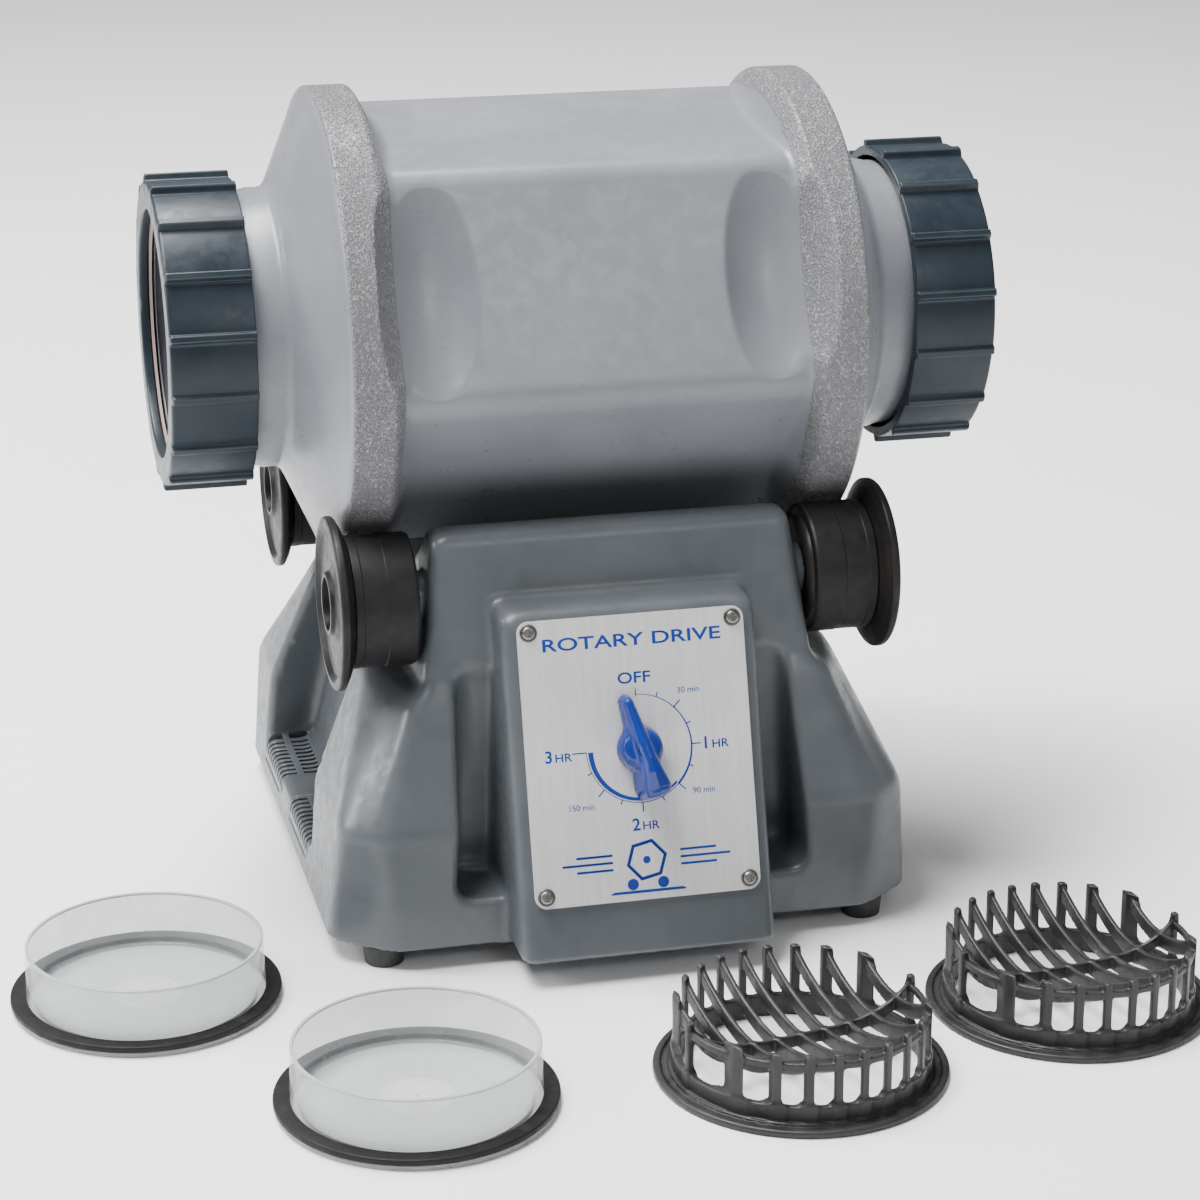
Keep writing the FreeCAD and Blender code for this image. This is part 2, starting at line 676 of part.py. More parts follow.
# ---- axles and rollers ---------------------------------------------------------------------
def make_roller_hub(side, y):
    """Hub with its guide flange; side is -1 on the left and 1 on the right."""
    hub = turned_x([
        (ROLLER_IN, SHAFT_R),
        (ROLLER_IN, HUB_R),
        (ROLLER_OUT, HUB_R),
        (ROLLER_OUT, ROLLER_R + 0.6),
        (114.2, 33.0),
        (115.4, FLANGE_R - 0.8),
        (116.6, FLANGE_R),
        (118.4, FLANGE_R),
        (119.8, FLANGE_R - 1.0),
        (120.2, FLANGE_R - 3.0),
        (119.2, FLANGE_R - 5.0),
        (117.6, 27.0),
        (117.4, 19.0),
        (118.8, 14.0),
        (120.6, 12.6),
        (120.6, 11.2),
        (113.6, 10.6),
        (113.6, SHAFT_R),
    ], y, ROLLER_Z)
    return hub if side > 0 else mirror_x(hub)


def make_roller_tyre(side, y):
    tyre = turned_x([
        (ROLLER_IN, HUB_R),
        (ROLLER_IN, ROLLER_R - 1.0),
        (ROLLER_IN + 1.0, ROLLER_R),
        (ROLLER_OUT - 0.4, ROLLER_R),
        (ROLLER_OUT - 0.4, HUB_R),
    ], y, ROLLER_Z)
    return tyre if side > 0 else mirror_x(tyre)


def make_axle(y):
    return rod_x(SHAFT_R, -SHAFT_END, SHAFT_END, y, ROLLER_Z)


def make_axle_clips(y):
    right = tube_x(7.5, SHAFT_R, 113.8, 115.0, y, ROLLER_Z)
    return Part.makeCompound([right, mirror_x(right)])


def make_bearings(y):
    right = tube_x(BEARING_R, SHAFT_R + RUN_FIT, BEARING_IN, BEARING_OUT, y, ROLLER_Z)
    return Part.makeCompound([right, mirror_x(right)])


def make_pulley(radius, bore, y, z):
    x1 = PULLEY_X + PULLEY_W
    groove = rod_x(radius, PULLEY_X, x1, y, z)
    rims = [rod_x(radius + 2.0, PULLEY_X, PULLEY_X + 1.4, y, z), rod_x(radius + 2.0, x1 - 1.4, x1, y, z)]
    return fuse([groove] + rims).cut(rod_x(bore, PULLEY_X - 1, x1 + 1, y, z))


def belt_outline(grow):
    """Area wrapped by a belt round both pulleys, as one solid across the belt's width."""
    x0 = PULLEY_X + 2.0
    x1 = PULLEY_X + PULLEY_W - 2.0
    r1 = DRIVE_PULLEY_R + grow
    r2 = DRIVEN_PULLEY_R + grow
    dy = -ROLLER_Y - OUT_Y
    dz = ROLLER_Z - OUT_Z
    span = math.hypot(dy, dz)
    along = math.atan2(dz, dy)
    tilt = math.acos((r1 - r2) / span)
    corners = []
    for sign, cy, cz, r in ((1, OUT_Y, OUT_Z, r1), (-1, OUT_Y, OUT_Z, r1)):
        corners.append((cy + r * math.cos(along + sign * tilt), cz + r * math.sin(along + sign * tilt)))
    for sign, cy, cz, r in ((-1, -ROLLER_Y, ROLLER_Z, r2), (1, -ROLLER_Y, ROLLER_Z, r2)):
        corners.append((cy + r * math.cos(along + sign * tilt), cz + r * math.sin(along + sign * tilt)))
    web = prism_x(corners, x0, x1)
    return fuse([web, rod_x(r1, x0, x1, OUT_Y, OUT_Z), rod_x(r2, x0, x1, -ROLLER_Y, ROLLER_Z)])


def make_belt():
    return belt_outline(BELT_GAP + BELT_T).cut(belt_outline(BELT_GAP))


# ---- motor and gearbox ---------------------------------------------------------------------
def bracket_screw_places():
    return [(x, y) for x in (-50.0, 40.0) for y in (-50.0, 62.0)]


def make_motor_bracket():
    floor = FOOT_H + BOTTOM_T
    pan = box(-56, 46, -58, 70, floor, floor + 2)
    coil_room = box(-54, -4, 8, 42, floor - 1, floor + 3)
    posts = [
        box(CASE_X[0], COVER_X[1], -52, -30, floor + 2, CASE_Z[0]),
        box(CASE_X[0], COVER_X[1], 8, 30, floor + 2, CASE_Z[0]),
        box(STACK_X[0], STACK_X[1], STACK_Y[0], 6, floor + 2, STACK_Z[0]),
        box(STACK_X[0], STACK_X[1], 44, STACK_Y[1], floor + 2, STACK_Z[0]),
    ]
    bracket = fuse([pan.cut(coil_room)] + posts)
    holes = [rod_z(BRACKET_SCREW_R, floor - 1, floor + 3, x, y) for x, y in bracket_screw_places()]
    return bracket.cut(holes)


def make_bracket_screws():
    floor = FOOT_H + BOTTOM_T
    screws = []
    for x, y in bracket_screw_places():
        head = rod_z(3.8, floor + 2, floor + 4.5, x, y)
        screws.append(fuse([head, rod_z(BRACKET_SCREW_R, FOOT_H + 0.5, floor + 3, x, y)]))
    return Part.makeCompound(screws)


def make_motor_stack():
    """Laminated iron frame with the rotor bore and the window for the coil."""
    x0, x1 = STACK_X
    frame = box(x0, x1, STACK_Y[0], STACK_Y[1], STACK_Z[0], STACK_Z[1])
    window = box(x0 - 1, x1 + 1, COIL_Y[0], COIL_Y[1], COIL_Z[0], COIL_Z[1])
    return frame.cut([window, rod_x(ROTOR_BORE_R, x0 - 1, x1 + 1, MOTOR_Y, MOTOR_Z)])


def make_motor_coil():
    coil = box(STACK_X[0] - 8, STACK_X[1] + 8, COIL_Y[0] + 1, COIL_Y[1] - 1, 14.5, COIL_Z[1] - 1)
    leg = box(STACK_X[0], STACK_X[1], COIL_Y[0], COIL_Y[1], STACK_Z[0], COIL_Z[0])
    return coil.cut(leg)


def make_motor_caps():
    """Two end brackets that carry the rotor shaft."""
    shapes = []
    thick = 3.0
    for x0 in (STACK_X[0] - thick, STACK_X[1]):
        bar = box(x0, x0 + thick, MOTOR_Y - 25, MOTOR_Y + 25, MOTOR_Z - 10, MOTOR_Z + 10)
        shapes.append(bar.cut(rod_x(MOTOR_SHAFT_R + RUN_FIT, x0 - 1, x0 + thick + 1, MOTOR_Y, MOTOR_Z)))
    return Part.makeCompound(shapes)


def make_rotor():
    core = rod_x(ROTOR_R, STACK_X[0], STACK_X[1], MOTOR_Y, MOTOR_Z)
    shaft = rod_x(MOTOR_SHAFT_R, FAN_X[0] - 2, 20, MOTOR_Y, MOTOR_Z)
    pinion = rod_x(PINION_R, 9, 19, MOTOR_Y, MOTOR_Z)
    return fuse([core, shaft, pinion])


def make_fan():
    x0, x1 = FAN_X
    hub = rod_x(8.0, x0, x1, MOTOR_Y, MOTOR_Z)
    disc = rod_x(FAN_R, x1 - 2, x1, MOTOR_Y, MOTOR_Z)
    blades = []
    for i in range(FAN_BLADES):
        blade = box(x0, x1, -0.8, 0.8, 6, FAN_R)
        blade.rotate(Vector(0, 0, 0), Vector(1, 0, 0), 360.0 / FAN_BLADES * i)
        blade.translate(Vector(0, MOTOR_Y, MOTOR_Z))
        blades.append(blade)
    return fuse([hub, disc] + blades).cut(rod_x(MOTOR_SHAFT_R, x0 - 6, x1 + 2, MOTOR_Y, MOTOR_Z))


def make_lay_gear():
    shaft = rod_x(MOTOR_SHAFT_R, 4.6, 33.4, LAY_Y, MOTOR_Z)
    wheel = rod_x(WHEEL_1_R, 10, 17, LAY_Y, MOTOR_Z)
    pinion = rod_x(PINION_2_R, 17, 29, LAY_Y, MOTOR_Z)
    return fuse([shaft, wheel, pinion])


def make_output_gear():
    return rod_x(WHEEL_2_R, 19, 27, OUT_Y, OUT_Z).cut(rod_x(SHAFT_R, 18, 28, OUT_Y, OUT_Z))


def make_output_shaft():
    return rod_x(SHAFT_R, 4.6, PULLEY_X + PULLEY_W + 1, OUT_Y, OUT_Z)


def shaft_holes():
    return [
        rod_x(MOTOR_SHAFT_R + RUN_FIT, 0, 20, MOTOR_Y, MOTOR_Z),
        rod_x(MOTOR_SHAFT_R + RUN_FIT, 0, 40, LAY_Y, MOTOR_Z),
        rod_x(SHAFT_R + RUN_FIT, 0, 40, OUT_Y, OUT_Z),
    ]


def make_gearbox_case():
    case = box(CASE_X[0], CASE_X[1], CASE_Y[0], CASE_Y[1], CASE_Z[0], CASE_Z[1])
    case = round_edges(case, CASE_ROUND, lambda x, y, z: CASE_X[0] + 1 < x < CASE_X[1] - 1)
    room = box(
        CASE_X[0] + CASE_WALL, CASE_X[1] + 1,
        CASE_Y[0] + CASE_WALL, CASE_Y[1] - CASE_WALL,
        CASE_Z[0] + CASE_WALL, CASE_Z[1] - CASE_WALL,
    )
    room = round_edges(room, CASE_ROUND - CASE_WALL, lambda x, y, z: CASE_X[0] + 4 < x < CASE_X[1])
    return case.cut([room] + shaft_holes())


def make_gearbox_cover():
    cover = box(COVER_X[0], COVER_X[1], CASE_Y[0], CASE_Y[1], CASE_Z[0], CASE_Z[1])
    cover = round_edges(cover, CASE_ROUND, lambda x, y, z: COVER_X[0] + 0.5 < x < COVER_X[1] - 0.5)
    return cover.cut(shaft_holes())


# ---- power inlet ---------------------------------------------------------------------------
def inlet_screw_places():
    return [INLET_X - INLET_SCREW_X, INLET_X + INLET_SCREW_X]


def make_power_inlet():
    wide, tall = INLET_FLANGE_HALF
    face = REAR_Y + INLET_FLANGE_T
    flange = box(INLET_X - wide, INLET_X + wide, REAR_Y, face, INLET_Z - tall, INLET_Z + tall)
    flange = round_edges(flange, 5.0, lambda x, y, z: REAR_Y + 0.1 < y < face - 0.1)
    half_x, half_z = INLET_HALF
    deep = REAR_Y - INLET_DEPTH
    body = box(INLET_X - half_x, INLET_X + half_x, deep, REAR_Y + 1, INLET_Z - half_z, INLET_Z + half_z)
    recess_x = half_x - 1.5
    recess_z = half_z - 1.7
    left = INLET_X - recess_x
    right = INLET_X + recess_x
    recess = box(left, right, deep + 5, face + 1.5, INLET_Z - recess_z, INLET_Z + recess_z)
    holes = []
    for x in inlet_screw_places():
        holes.append(Part.makeCylinder(INLET_SCREW_R, 5, Vector(x, REAR_Y - 1, INLET_Z), Vector(0, 1, 0)))
    return fuse([flange, body]).cut([recess] + holes + pins())


def pins():
    """Three contact bars, the earth one above the other two."""
    bars = []
    for x, z in ((-7.0, -2.0), (0.0, 2.0), (7.0, -2.0)):
        px = INLET_X + x
        pz = INLET_Z + z
        bars.append(box(px - 1, px + 1, REAR_Y - 27, REAR_Y - 3, pz - 2, pz + 2))
    return bars


def make_inlet_screws():
    screws = []
    for x in inlet_screw_places():
        head = Part.makeCylinder(2.7, 1.5, Vector(x, REAR_Y + INLET_FLANGE_T, INLET_Z), Vector(0, 1, 0))
        shank = Part.makeCylinder(INLET_SCREW_R, 9, Vector(x, REAR_Y - 6, INLET_Z), Vector(0, 1, 0))
        screws.append(fuse([head, shank]))
    return Part.makeCompound(screws)


# ---- loose closures ------------------------------------------------------------------------
def make_lens(x, y):
    cup = rod_z(LENS_R, 0, LENS_H, x, y).cut(rod_z(LENS_R - LENS_WALL, LENS_FLANGE_T, LENS_H + 1, x, y))
    return fuse([cup, rod_z(LENS_FLANGE_R, 0, LENS_FLANGE_T, x, y)])


def make_lens_gasket(x, y):
    return tube_z(GASKET_R, LENS_R + 0.3, LENS_FLANGE_T, LENS_FLANGE_T + GASKET_T, x, y)


def blade_dip(across):
    """Height of a blade's top at its middle; the outer blades hang less."""
    return STRAINER_DIP + (STRAINER_TOP - STRAINER_DIP) * (across / STRAINER_CAGE_R) ** 4


def strainer_blade(across):
    """One cross blade, hanging between its two posts."""
    half = math.sqrt((STRAINER_CAGE_R - 1) ** 2 - across ** 2)
    dip = blade_dip(across)
    steps = 12
    top = []
    for i in range(steps + 1):
        part = 2.0 * i / steps - 1
        top.append((half * part, dip + (STRAINER_TOP - dip) * part ** 2))
    under = [(y, z - STRAINER_DEPTH) for y, z in reversed(top)]
    return prism_x(top + under, across - STRAINER_BLADE_T / 2, across + STRAINER_BLADE_T / 2)


def strainer_spine():
    """Rib across all the blades at their middles, rising to a post at each end."""
    half = STRAINER_CAGE_R - 1
    steps = 16
    top = []
    for i in range(steps + 1):
        across = half * (2.0 * i / steps - 1)
        top.append((across, blade_dip(across)))
    under = [(across, z - STRAINER_DEPTH) for across, z in reversed(top)]
    rib = prism_x(top + under, -STRAINER_BLADE_T / 2, STRAINER_BLADE_T / 2)
    rib.rotate(Vector(0, 0, 0), Vector(0, 0, 1), 90)
    return rib


def make_strainer():
    """Basket: flange, low band, posts, hanging blades, a spine across them and a half hoop in front."""
    inner = STRAINER_CAGE_R - STRAINER_WALL
    half_post = STRAINER_POST_W / 2
    cage = tube_z(STRAINER_CAGE_R, inner, 1, STRAINER_TOP)
    low = STRAINER_BAND_H - 1
    basket = tube_z(STRAINER_FLANGE_R, inner, 0, STRAINER_FLANGE_T)
    basket = basket.fuse(tube_z(STRAINER_CAGE_R, inner, 1, STRAINER_BAND_H))
    reach = STRAINER_CAGE_R + 1
    basket = basket.fuse(cage.common(box(-reach, reach, -half_post, half_post, low, STRAINER_TOP)))
    for i in range(STRAINER_BLADES):
        across = STRAINER_PITCH * (i - (STRAINER_BLADES - 1) / 2)
        posts = box(across - half_post, across + half_post, -reach, reach, low, STRAINER_TOP)
        basket = basket.fuse(cage.common(posts))
        basket = basket.fuse(strainer_blade(across))
    basket = basket.fuse(strainer_spine())
    hoop = tube_z(STRAINER_CAGE_R - 1, inner + 0.3, STRAINER_HOOP_Z[0], STRAINER_HOOP_Z[1])
    return basket.fuse(hoop.common(box(-reach, reach, -reach, -5, 0, STRAINER_TOP)))


# ---- everything ----------------------------------------------------------------------------
def main():
    os.makedirs("parts", exist_ok=True)
    barrel, end = split_drum(make_drum())
    save("drum_barrel", barrel)
    save("drum_end_right", end)
    save("drum_end_left", mirror_x(end))
    cap = make_cap()
    save("right_cap", cap)
    save("left_cap", mirror_x(cap))
    washer = make_slip_washer()
    save("right_slip_washer", washer)
    save("left_slip_washer", mirror_x(washer))

    save("base_housing", make_base_housing())
    save("bottom_plate", make_bottom_plate())
    save("bottom_screws", make_bottom_screws())
    for name, (x, y) in foot_places().items():
        save(name, make_foot(x, y))
    save("foot_screws", make_foot_screws())

    save("control_plate", make_control_plate())
    save("control_plate_screws", make_plate_screws())
    save("timer_body", make_timer_body())
    save("timer_nut", make_timer_nut())
    save("timer_shaft", make_timer_shaft())
    save("timer_knob", make_timer_knob())

    for y, row in ((-ROLLER_Y, "front"), (ROLLER_Y, "rear")):
        save(row + "_axle", make_axle(y))
        save(row + "_axle_clips", make_axle_clips(y))
        save(row + "_bearings", make_bearings(y))
        for side, hand in ((-1, "left"), (1, "right")):
            save("roller_hub_" + row + "_" + hand, make_roller_hub(side, y))
            save("roller_tyre_" + row + "_" + hand, make_roller_tyre(side, y))
    save("driven_pulley", make_pulley(DRIVEN_PULLEY_R, SHAFT_R, -ROLLER_Y, ROLLER_Z))
    save("drive_pulley", make_pulley(DRIVE_PULLEY_R, SHAFT_R, OUT_Y, OUT_Z))
    save("drive_belt", make_belt())

    save("motor_bracket", make_motor_bracket())
    save("motor_bracket_screws", make_bracket_screws())
    save("motor_stack", make_motor_stack())
    save("motor_coil", make_motor_coil())
    save("motor_end_brackets", make_motor_caps())
    save("motor_rotor", make_rotor())
    save("cooling_fan", make_fan())
    save("gearbox_case", make_gearbox_case())
    save("gearbox_cover", make_gearbox_cover())
    save("lay_gear", make_lay_gear())
    save("output_gear", make_output_gear())
    save("output_shaft", make_output_shaft())

    save("power_inlet", make_power_inlet())
    save("inlet_pins", Part.makeCompound(pins()))
    save("inlet_screws", make_inlet_screws())

    for place, (x, y) in LENS_PLACES.items():
        save("lens_" + place, make_lens(x, y))
        save("lens_gasket_" + place, make_lens_gasket(x, y))
    basket = make_strainer()
    for place, (x, y, turn) in STRAINER_PLACES.items():
        strainer = basket.copy()
        strainer.rotate(Vector(0, 0, 0), Vector(0, 0, 1), turn)
        strainer.translate(Vector(x, y, 0))
        save("strainer_" + place, strainer)


main()
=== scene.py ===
"""Looks for the rotary rock tumbler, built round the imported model: +X along the drum, +Z up.

The frame is in metres. Sizes and places here are in millimetres, and become metres in the mesh helpers."""
import json
import math

import bmesh
import bpy
import numpy as np
import openvdb as vdb
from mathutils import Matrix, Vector


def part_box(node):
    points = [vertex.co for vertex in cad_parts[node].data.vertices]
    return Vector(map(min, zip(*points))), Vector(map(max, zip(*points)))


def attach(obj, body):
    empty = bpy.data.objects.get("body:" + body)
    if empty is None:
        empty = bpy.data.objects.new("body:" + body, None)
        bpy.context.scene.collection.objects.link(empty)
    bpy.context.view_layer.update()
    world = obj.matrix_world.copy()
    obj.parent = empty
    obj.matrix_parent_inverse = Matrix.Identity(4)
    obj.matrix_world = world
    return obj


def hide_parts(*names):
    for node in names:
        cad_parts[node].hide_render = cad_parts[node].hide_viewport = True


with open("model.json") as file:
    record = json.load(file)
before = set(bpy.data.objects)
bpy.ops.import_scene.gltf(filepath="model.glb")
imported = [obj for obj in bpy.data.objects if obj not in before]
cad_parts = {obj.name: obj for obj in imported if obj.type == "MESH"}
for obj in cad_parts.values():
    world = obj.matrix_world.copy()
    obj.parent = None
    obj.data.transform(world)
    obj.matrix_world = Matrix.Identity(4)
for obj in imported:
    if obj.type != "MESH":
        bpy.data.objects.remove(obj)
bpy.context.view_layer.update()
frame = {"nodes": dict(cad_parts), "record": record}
NODES = frame["nodes"]


MM = 0.001
AXIS_Z = sum(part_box("left_slip_washer")[i].z for i in (0, 1)) / 2 / MM    # height of the drum's axis
DRUM_NODES = [n for n in NODES if n.startswith("drum_")]
FULL_TURN = 2 * math.pi


# ---- meshes ----------------------------------------------------------------------------------
def add_piece(name, mesh, material, body, stands_for=(), weighted=True):
    """Puts a mesh in the scene on its body; weighted is for a mesh without normals of its own."""
    obj = bpy.data.objects.new(name, mesh)
    bpy.context.scene.collection.objects.link(obj)
    mesh.materials.append(material)
    if weighted:
        mod = obj.modifiers.new("normals", "WEIGHTED_NORMAL")
        mod.keep_sharp = True
    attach(obj, body)
    if stands_for:
        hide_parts(*stands_for)
    return obj


def middle_of(node):
    """Point on the floor under the middle of a node."""
    low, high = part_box(node)
    return np.array([(low.x + high.x) / 2, (low.y + high.y) / 2, 0]) / MM


def mesh_from(name, points, faces):
    """Smooth mesh with double points merged and its faces turned outward."""
    mesh = bpy.data.meshes.new(name)
    mesh.from_pydata((np.array(points) * MM).tolist(), [], faces)
    bm = bmesh.new()
    bm.from_mesh(mesh)
    bmesh.ops.remove_doubles(bm, verts=bm.verts, dist=0.001 * MM)
    bmesh.ops.recalc_face_normals(bm, faces=bm.faces)
    for face in bm.faces:
        face.smooth = True
    bm.to_mesh(mesh)
    bm.free()
    return mesh


def closed_grid(rows, cols, first=0):
    """Quads between points stored row by row, where the last row and column meet the first."""
    row, col = np.meshgrid(np.arange(rows), np.arange(cols), indexing="ij")
    next_row = (row + 1) % rows
    next_col = (col + 1) % cols
    quads = np.stack([row * cols + col, row * cols + next_col,
                      next_row * cols + next_col, next_row * cols + col], axis=-1)
    return (quads.reshape(-1, 4) + first).tolist()


def rounded(points, steps):
    """Closed outline of (u, v, radius) corners with each corner turned into an arc."""
    out = []
    count = len(points)
    for i, (u, v, radius) in enumerate(points):
        here = Vector((u, v))
        a = Vector(points[i - 1][:2]) - here
        b = Vector(points[(i + 1) % count][:2]) - here
        if radius <= 0:
            out.append((u, v))
            continue
        half = a.angle(b) / 2
        reach = min(radius / math.tan(half), 0.49 * a.length, 0.49 * b.length)
        start = here + a.normalized() * reach
        end = here + b.normalized() * reach
        for k in range(steps + 1):
            t = k / steps
            p = start * (1 - t) ** 2 + here * 2 * t * (1 - t) + end * t ** 2
            out.append((p.x, p.y))
    return out


def even_angles(count):
    return np.linspace(0, FULL_TURN, count, endpoint=False)


def lathe(name, outline, axis, centre, angle, swell=None):
    """Ring-shaped mesh: a closed outline of (along, radius) turned through some angles about an axis.

    swell(angle, outline) may give each point a radius of its own."""
    line = np.array(outline, float)
    radius = swell(angle, line) if swell else np.repeat(line[None, :, 1], len(angle), axis=0)
    along = np.repeat(line[None, :, 0], len(angle), axis=0)
    across = radius * np.cos(angle)[:, None]
    up = radius * np.sin(angle)[:, None]
    order = (along, across, up) if axis == "X" else (across, up, along)
    points = np.stack(order, axis=-1).reshape(-1, 3) + np.array(centre)
    return mesh_from(name, points, closed_grid(len(angle), len(line)))


def smooth_min(a, b, k):
    """Lesser of two fields, blended over k where they meet."""
    h = np.clip(0.5 + 0.5 * (b - a) / k, 0, 1)
    return b + (a - b) * h - k * h * (1 - h)


def smooth_max(a, b, k):
    return -smooth_min(-a, -b, k)


def hypot(a, b):
    return np.sqrt(a * a + b * b)


def all_of(*fields):
    """Inside only where every field is inside."""
    out = fields[0]
    for field in fields[1:]:
        out = np.maximum(out, field)
    return out


def between(ends, share):
    """Size between the two ends, at a share of the way."""
    return ends[0] + (ends[1] - ends[0]) * share


def slope(field, points, reach):
    """Unit direction in which a field grows, at each point."""
    slopes = []
    for i in range(3):
        nudge = np.zeros(3)
        nudge[i] = reach
        slopes.append(field(*(points + nudge).T) - field(*(points - nudge).T))
    out = np.stack(slopes, axis=-1)
    return out / np.maximum(np.linalg.norm(out, axis=1, keepdims=True), 1e-9)


SLOPE_REACH, NEAR_SKIN = 0.35, 0.2    # shares of a grid step
FAR_OUTSIDE = 1000.0


def field_skin(field, low, high, step, adaptivity, whole=None):
    """Points, faces and normals of the skin where field(x, y, z) is zero.

    Where whole, the field before it was cut up, is zero too, the normals are its own."""
    axes = [np.arange(a, b + step, step) for a, b in zip(low, high)]
    values = field(*np.meshgrid(*axes, indexing="ij")).astype(np.float32)
    grid = vdb.FloatGrid(FAR_OUTSIDE)
    grid.copyFromArray(values)
    points, triangles, quads = grid.convertToPolygons(0.0, adaptivity)
    points = np.array(points, float) * step + np.array([axis[0] for axis in axes])
    normals = slope(field, points, SLOPE_REACH * step)
    if whole:
        near = np.abs(whole(*points.T)) < NEAR_SKIN * step
        normals[near] = slope(whole, points[near], SLOPE_REACH * step)
    faces = [tuple(int(i) for i in face) for face in list(quads) + list(triangles)]
    first = np.array([face[:3] for face in faces])
    corner = points[first]
    facing = np.cross(corner[:, 1] - corner[:, 0], corner[:, 2] - corner[:, 0])
    if (facing * normals[first[:, 0]]).sum() < 0:
        faces = [face[::-1] for face in faces]
    return points, faces, normals


def skin_mesh(name, skins, place=None):
    """One mesh of several skins; place moves their points and directions to where they belong."""
    points, faces, normals = [], [], []
    for skin_points, skin_faces, skin_normals in skins:
        first = sum(len(part) for part in points)
        points.append(skin_points)
        normals.append(skin_normals)
        faces += [tuple(i + first for i in face) for face in skin_faces]
    points = np.concatenate(points)
    normals = np.concatenate(normals)
    if place:
        points, normals = place(points, normals)
    mesh = bpy.data.meshes.new(name)
    mesh.from_pydata((points * MM).tolist(), [], faces)
    mesh.validate()
    mesh.shade_smooth()
    mesh.normals_split_custom_set_from_vertices(normals.tolist())
    return mesh


# ---- materials -------------------------------------------------------------------------------
NOISE_LOW, NOISE_HIGH = 0.3, 0.7      # noise seldom leaves this range
MIX_SHARE, MIX_A, MIX_B, MIX_COLOUR = 0, 6, 7, 2    # sockets of a colour mix; their names repeat


class Surface:
    """One material. Colour, roughness and relief vary through nodes in object coordinates."""

    def __init__(self, name, **plain):
        self.material = bpy.data.materials.new(name)
        self.material.use_nodes = True
        self.tree = self.material.node_tree
        self.tree.nodes.clear()
        self.shader = self.node("ShaderNodeBsdfPrincipled")
        out = self.node("ShaderNodeOutputMaterial")
        self.link(self.shader.outputs[0], out.inputs[0])
        self.coords = self.node("ShaderNodeTexCoord").outputs["Object"]
        for key, value in plain.items():
            self.shader.inputs[key.replace("_", " ")].default_value = value

    def node(self, kind, **settings):
        made = self.tree.nodes.new(kind)
        for key, value in settings.items():
            setattr(made, key, value)
        return made

    def link(self, source, target):
        self.tree.links.new(source, target)

    def put(self, value, socket):
        if isinstance(value, bpy.types.NodeSocket):
            self.link(value, socket)
        else:
            socket.default_value = value

    def maths(self, operation, a, b=0.0):
        made = self.node("ShaderNodeMath", operation=operation)
        for value, socket in zip((a, b), made.inputs):
            self.put(value, socket)
        return made.outputs[0]

    def along_drum(self):
        """Place along X, in metres."""
        apart = self.node("ShaderNodeSeparateXYZ")
        self.link(self.coords, apart.inputs[0])
        return apart.outputs[0]

    def stretched(self, scale):
        made = self.node("ShaderNodeMapping")
        made.inputs["Scale"].default_value = scale
        self.link(self.coords, made.inputs["Vector"])
        return made.outputs[0]

    def noise(self, size, detail=2.0, rough=0.5, twist=0.0, coords=None):
        """Noise whose features are about size millimetres across."""
        made = self.node("ShaderNodeTexNoise")
        self.link(coords or self.coords, made.inputs["Vector"])
        made.inputs["Scale"].default_value = 1 / (size * MM)
        made.inputs["Detail"].default_value = detail
        made.inputs["Roughness"].default_value = rough
        made.inputs["Distortion"].default_value = twist
        return made.outputs["Fac"]

    def step(self, value, low, high, out_low=0.0, out_high=1.0):
        """Smooth step from out_low to out_high while value goes from low to high."""
        made = self.node("ShaderNodeMapRange", interpolation_type="SMOOTHSTEP")
        for source, name in ((value, "Value"), (low, "From Min"), (high, "From Max"),
                             (out_low, "To Min"), (out_high, "To Max")):
            self.put(source, made.inputs[name])
        return made.outputs[0]

    def spread(self, noise, out_low=0.0, out_high=1.0):
        """Noise made to run from out_low to out_high."""
        return self.step(noise, NOISE_LOW, NOISE_HIGH, out_low, out_high)

    def mix(self, share, a, b):
        """Colour between a and b; a colour is a socket or three numbers."""
        made = self.node("ShaderNodeMix", data_type="RGBA")
        for value, place in ((share, MIX_SHARE), (a, MIX_A), (b, MIX_B)):
            if not isinstance(value, bpy.types.NodeSocket):
                value = (*value, 1.0)
            self.put(value, made.inputs[place])
        return made.outputs[MIX_COLOUR]

    def colour(self, value):
        self.put(value, self.shader.inputs["Base Color"])

    def rough(self, value):
        self.put(value, self.shader.inputs["Roughness"])

    def relief(self, *layers):
        """Bump layers of (height socket, depth in millimetres, strength)."""
        last = None
        for height, depth, strength in layers:
            made = self.node("ShaderNodeBump")
            made.inputs["Distance"].default_value = depth * MM
            made.inputs["Strength"].default_value = strength
            self.link(height, made.inputs["Height"])
            if last:
                self.link(last, made.inputs["Normal"])
            last = made.outputs[0]
        self.link(last, self.shader.inputs["Normal"])

    # Convex-edge mask: real rubbed wear in plastic(), painted edge shade on the rims of clear plastic.
    def edge_wear_and_rim_shade(self, low=0.52, high=0.6):
        """1 on convex edges, 0 elsewhere."""
        pointed = self.node("ShaderNodeNewGeometry").outputs["Pointiness"]
        return self.step(pointed, low, high)


def plastic(name, dark, light, rough=(0.35, 0.5), grain=0.5, depth=0.04, patch=30.0,
            wear=None, shine=0.5, **plain):
    """Moulded plastic: cloudy colour in patches, fine grain and rubbed edges where wear has a colour."""
    s = Surface(name, Specular_IOR_Level=shine, **plain)
    tone = s.mix(s.spread(s.noise(patch, 4.0, 0.55)), dark, light)
    if wear:
        tone = s.mix(s.maths("MULTIPLY", s.edge_wear_and_rim_shade(), 0.5), tone, wear)
    s.colour(tone)
    s.rough(s.spread(s.noise(6.0, 3.0, 0.6, 0.4), *rough))
    s.relief((s.noise(grain, 1.0), depth, 0.5), (s.noise(9.0, 2.0), 0.12, 0.25))
    return s.material


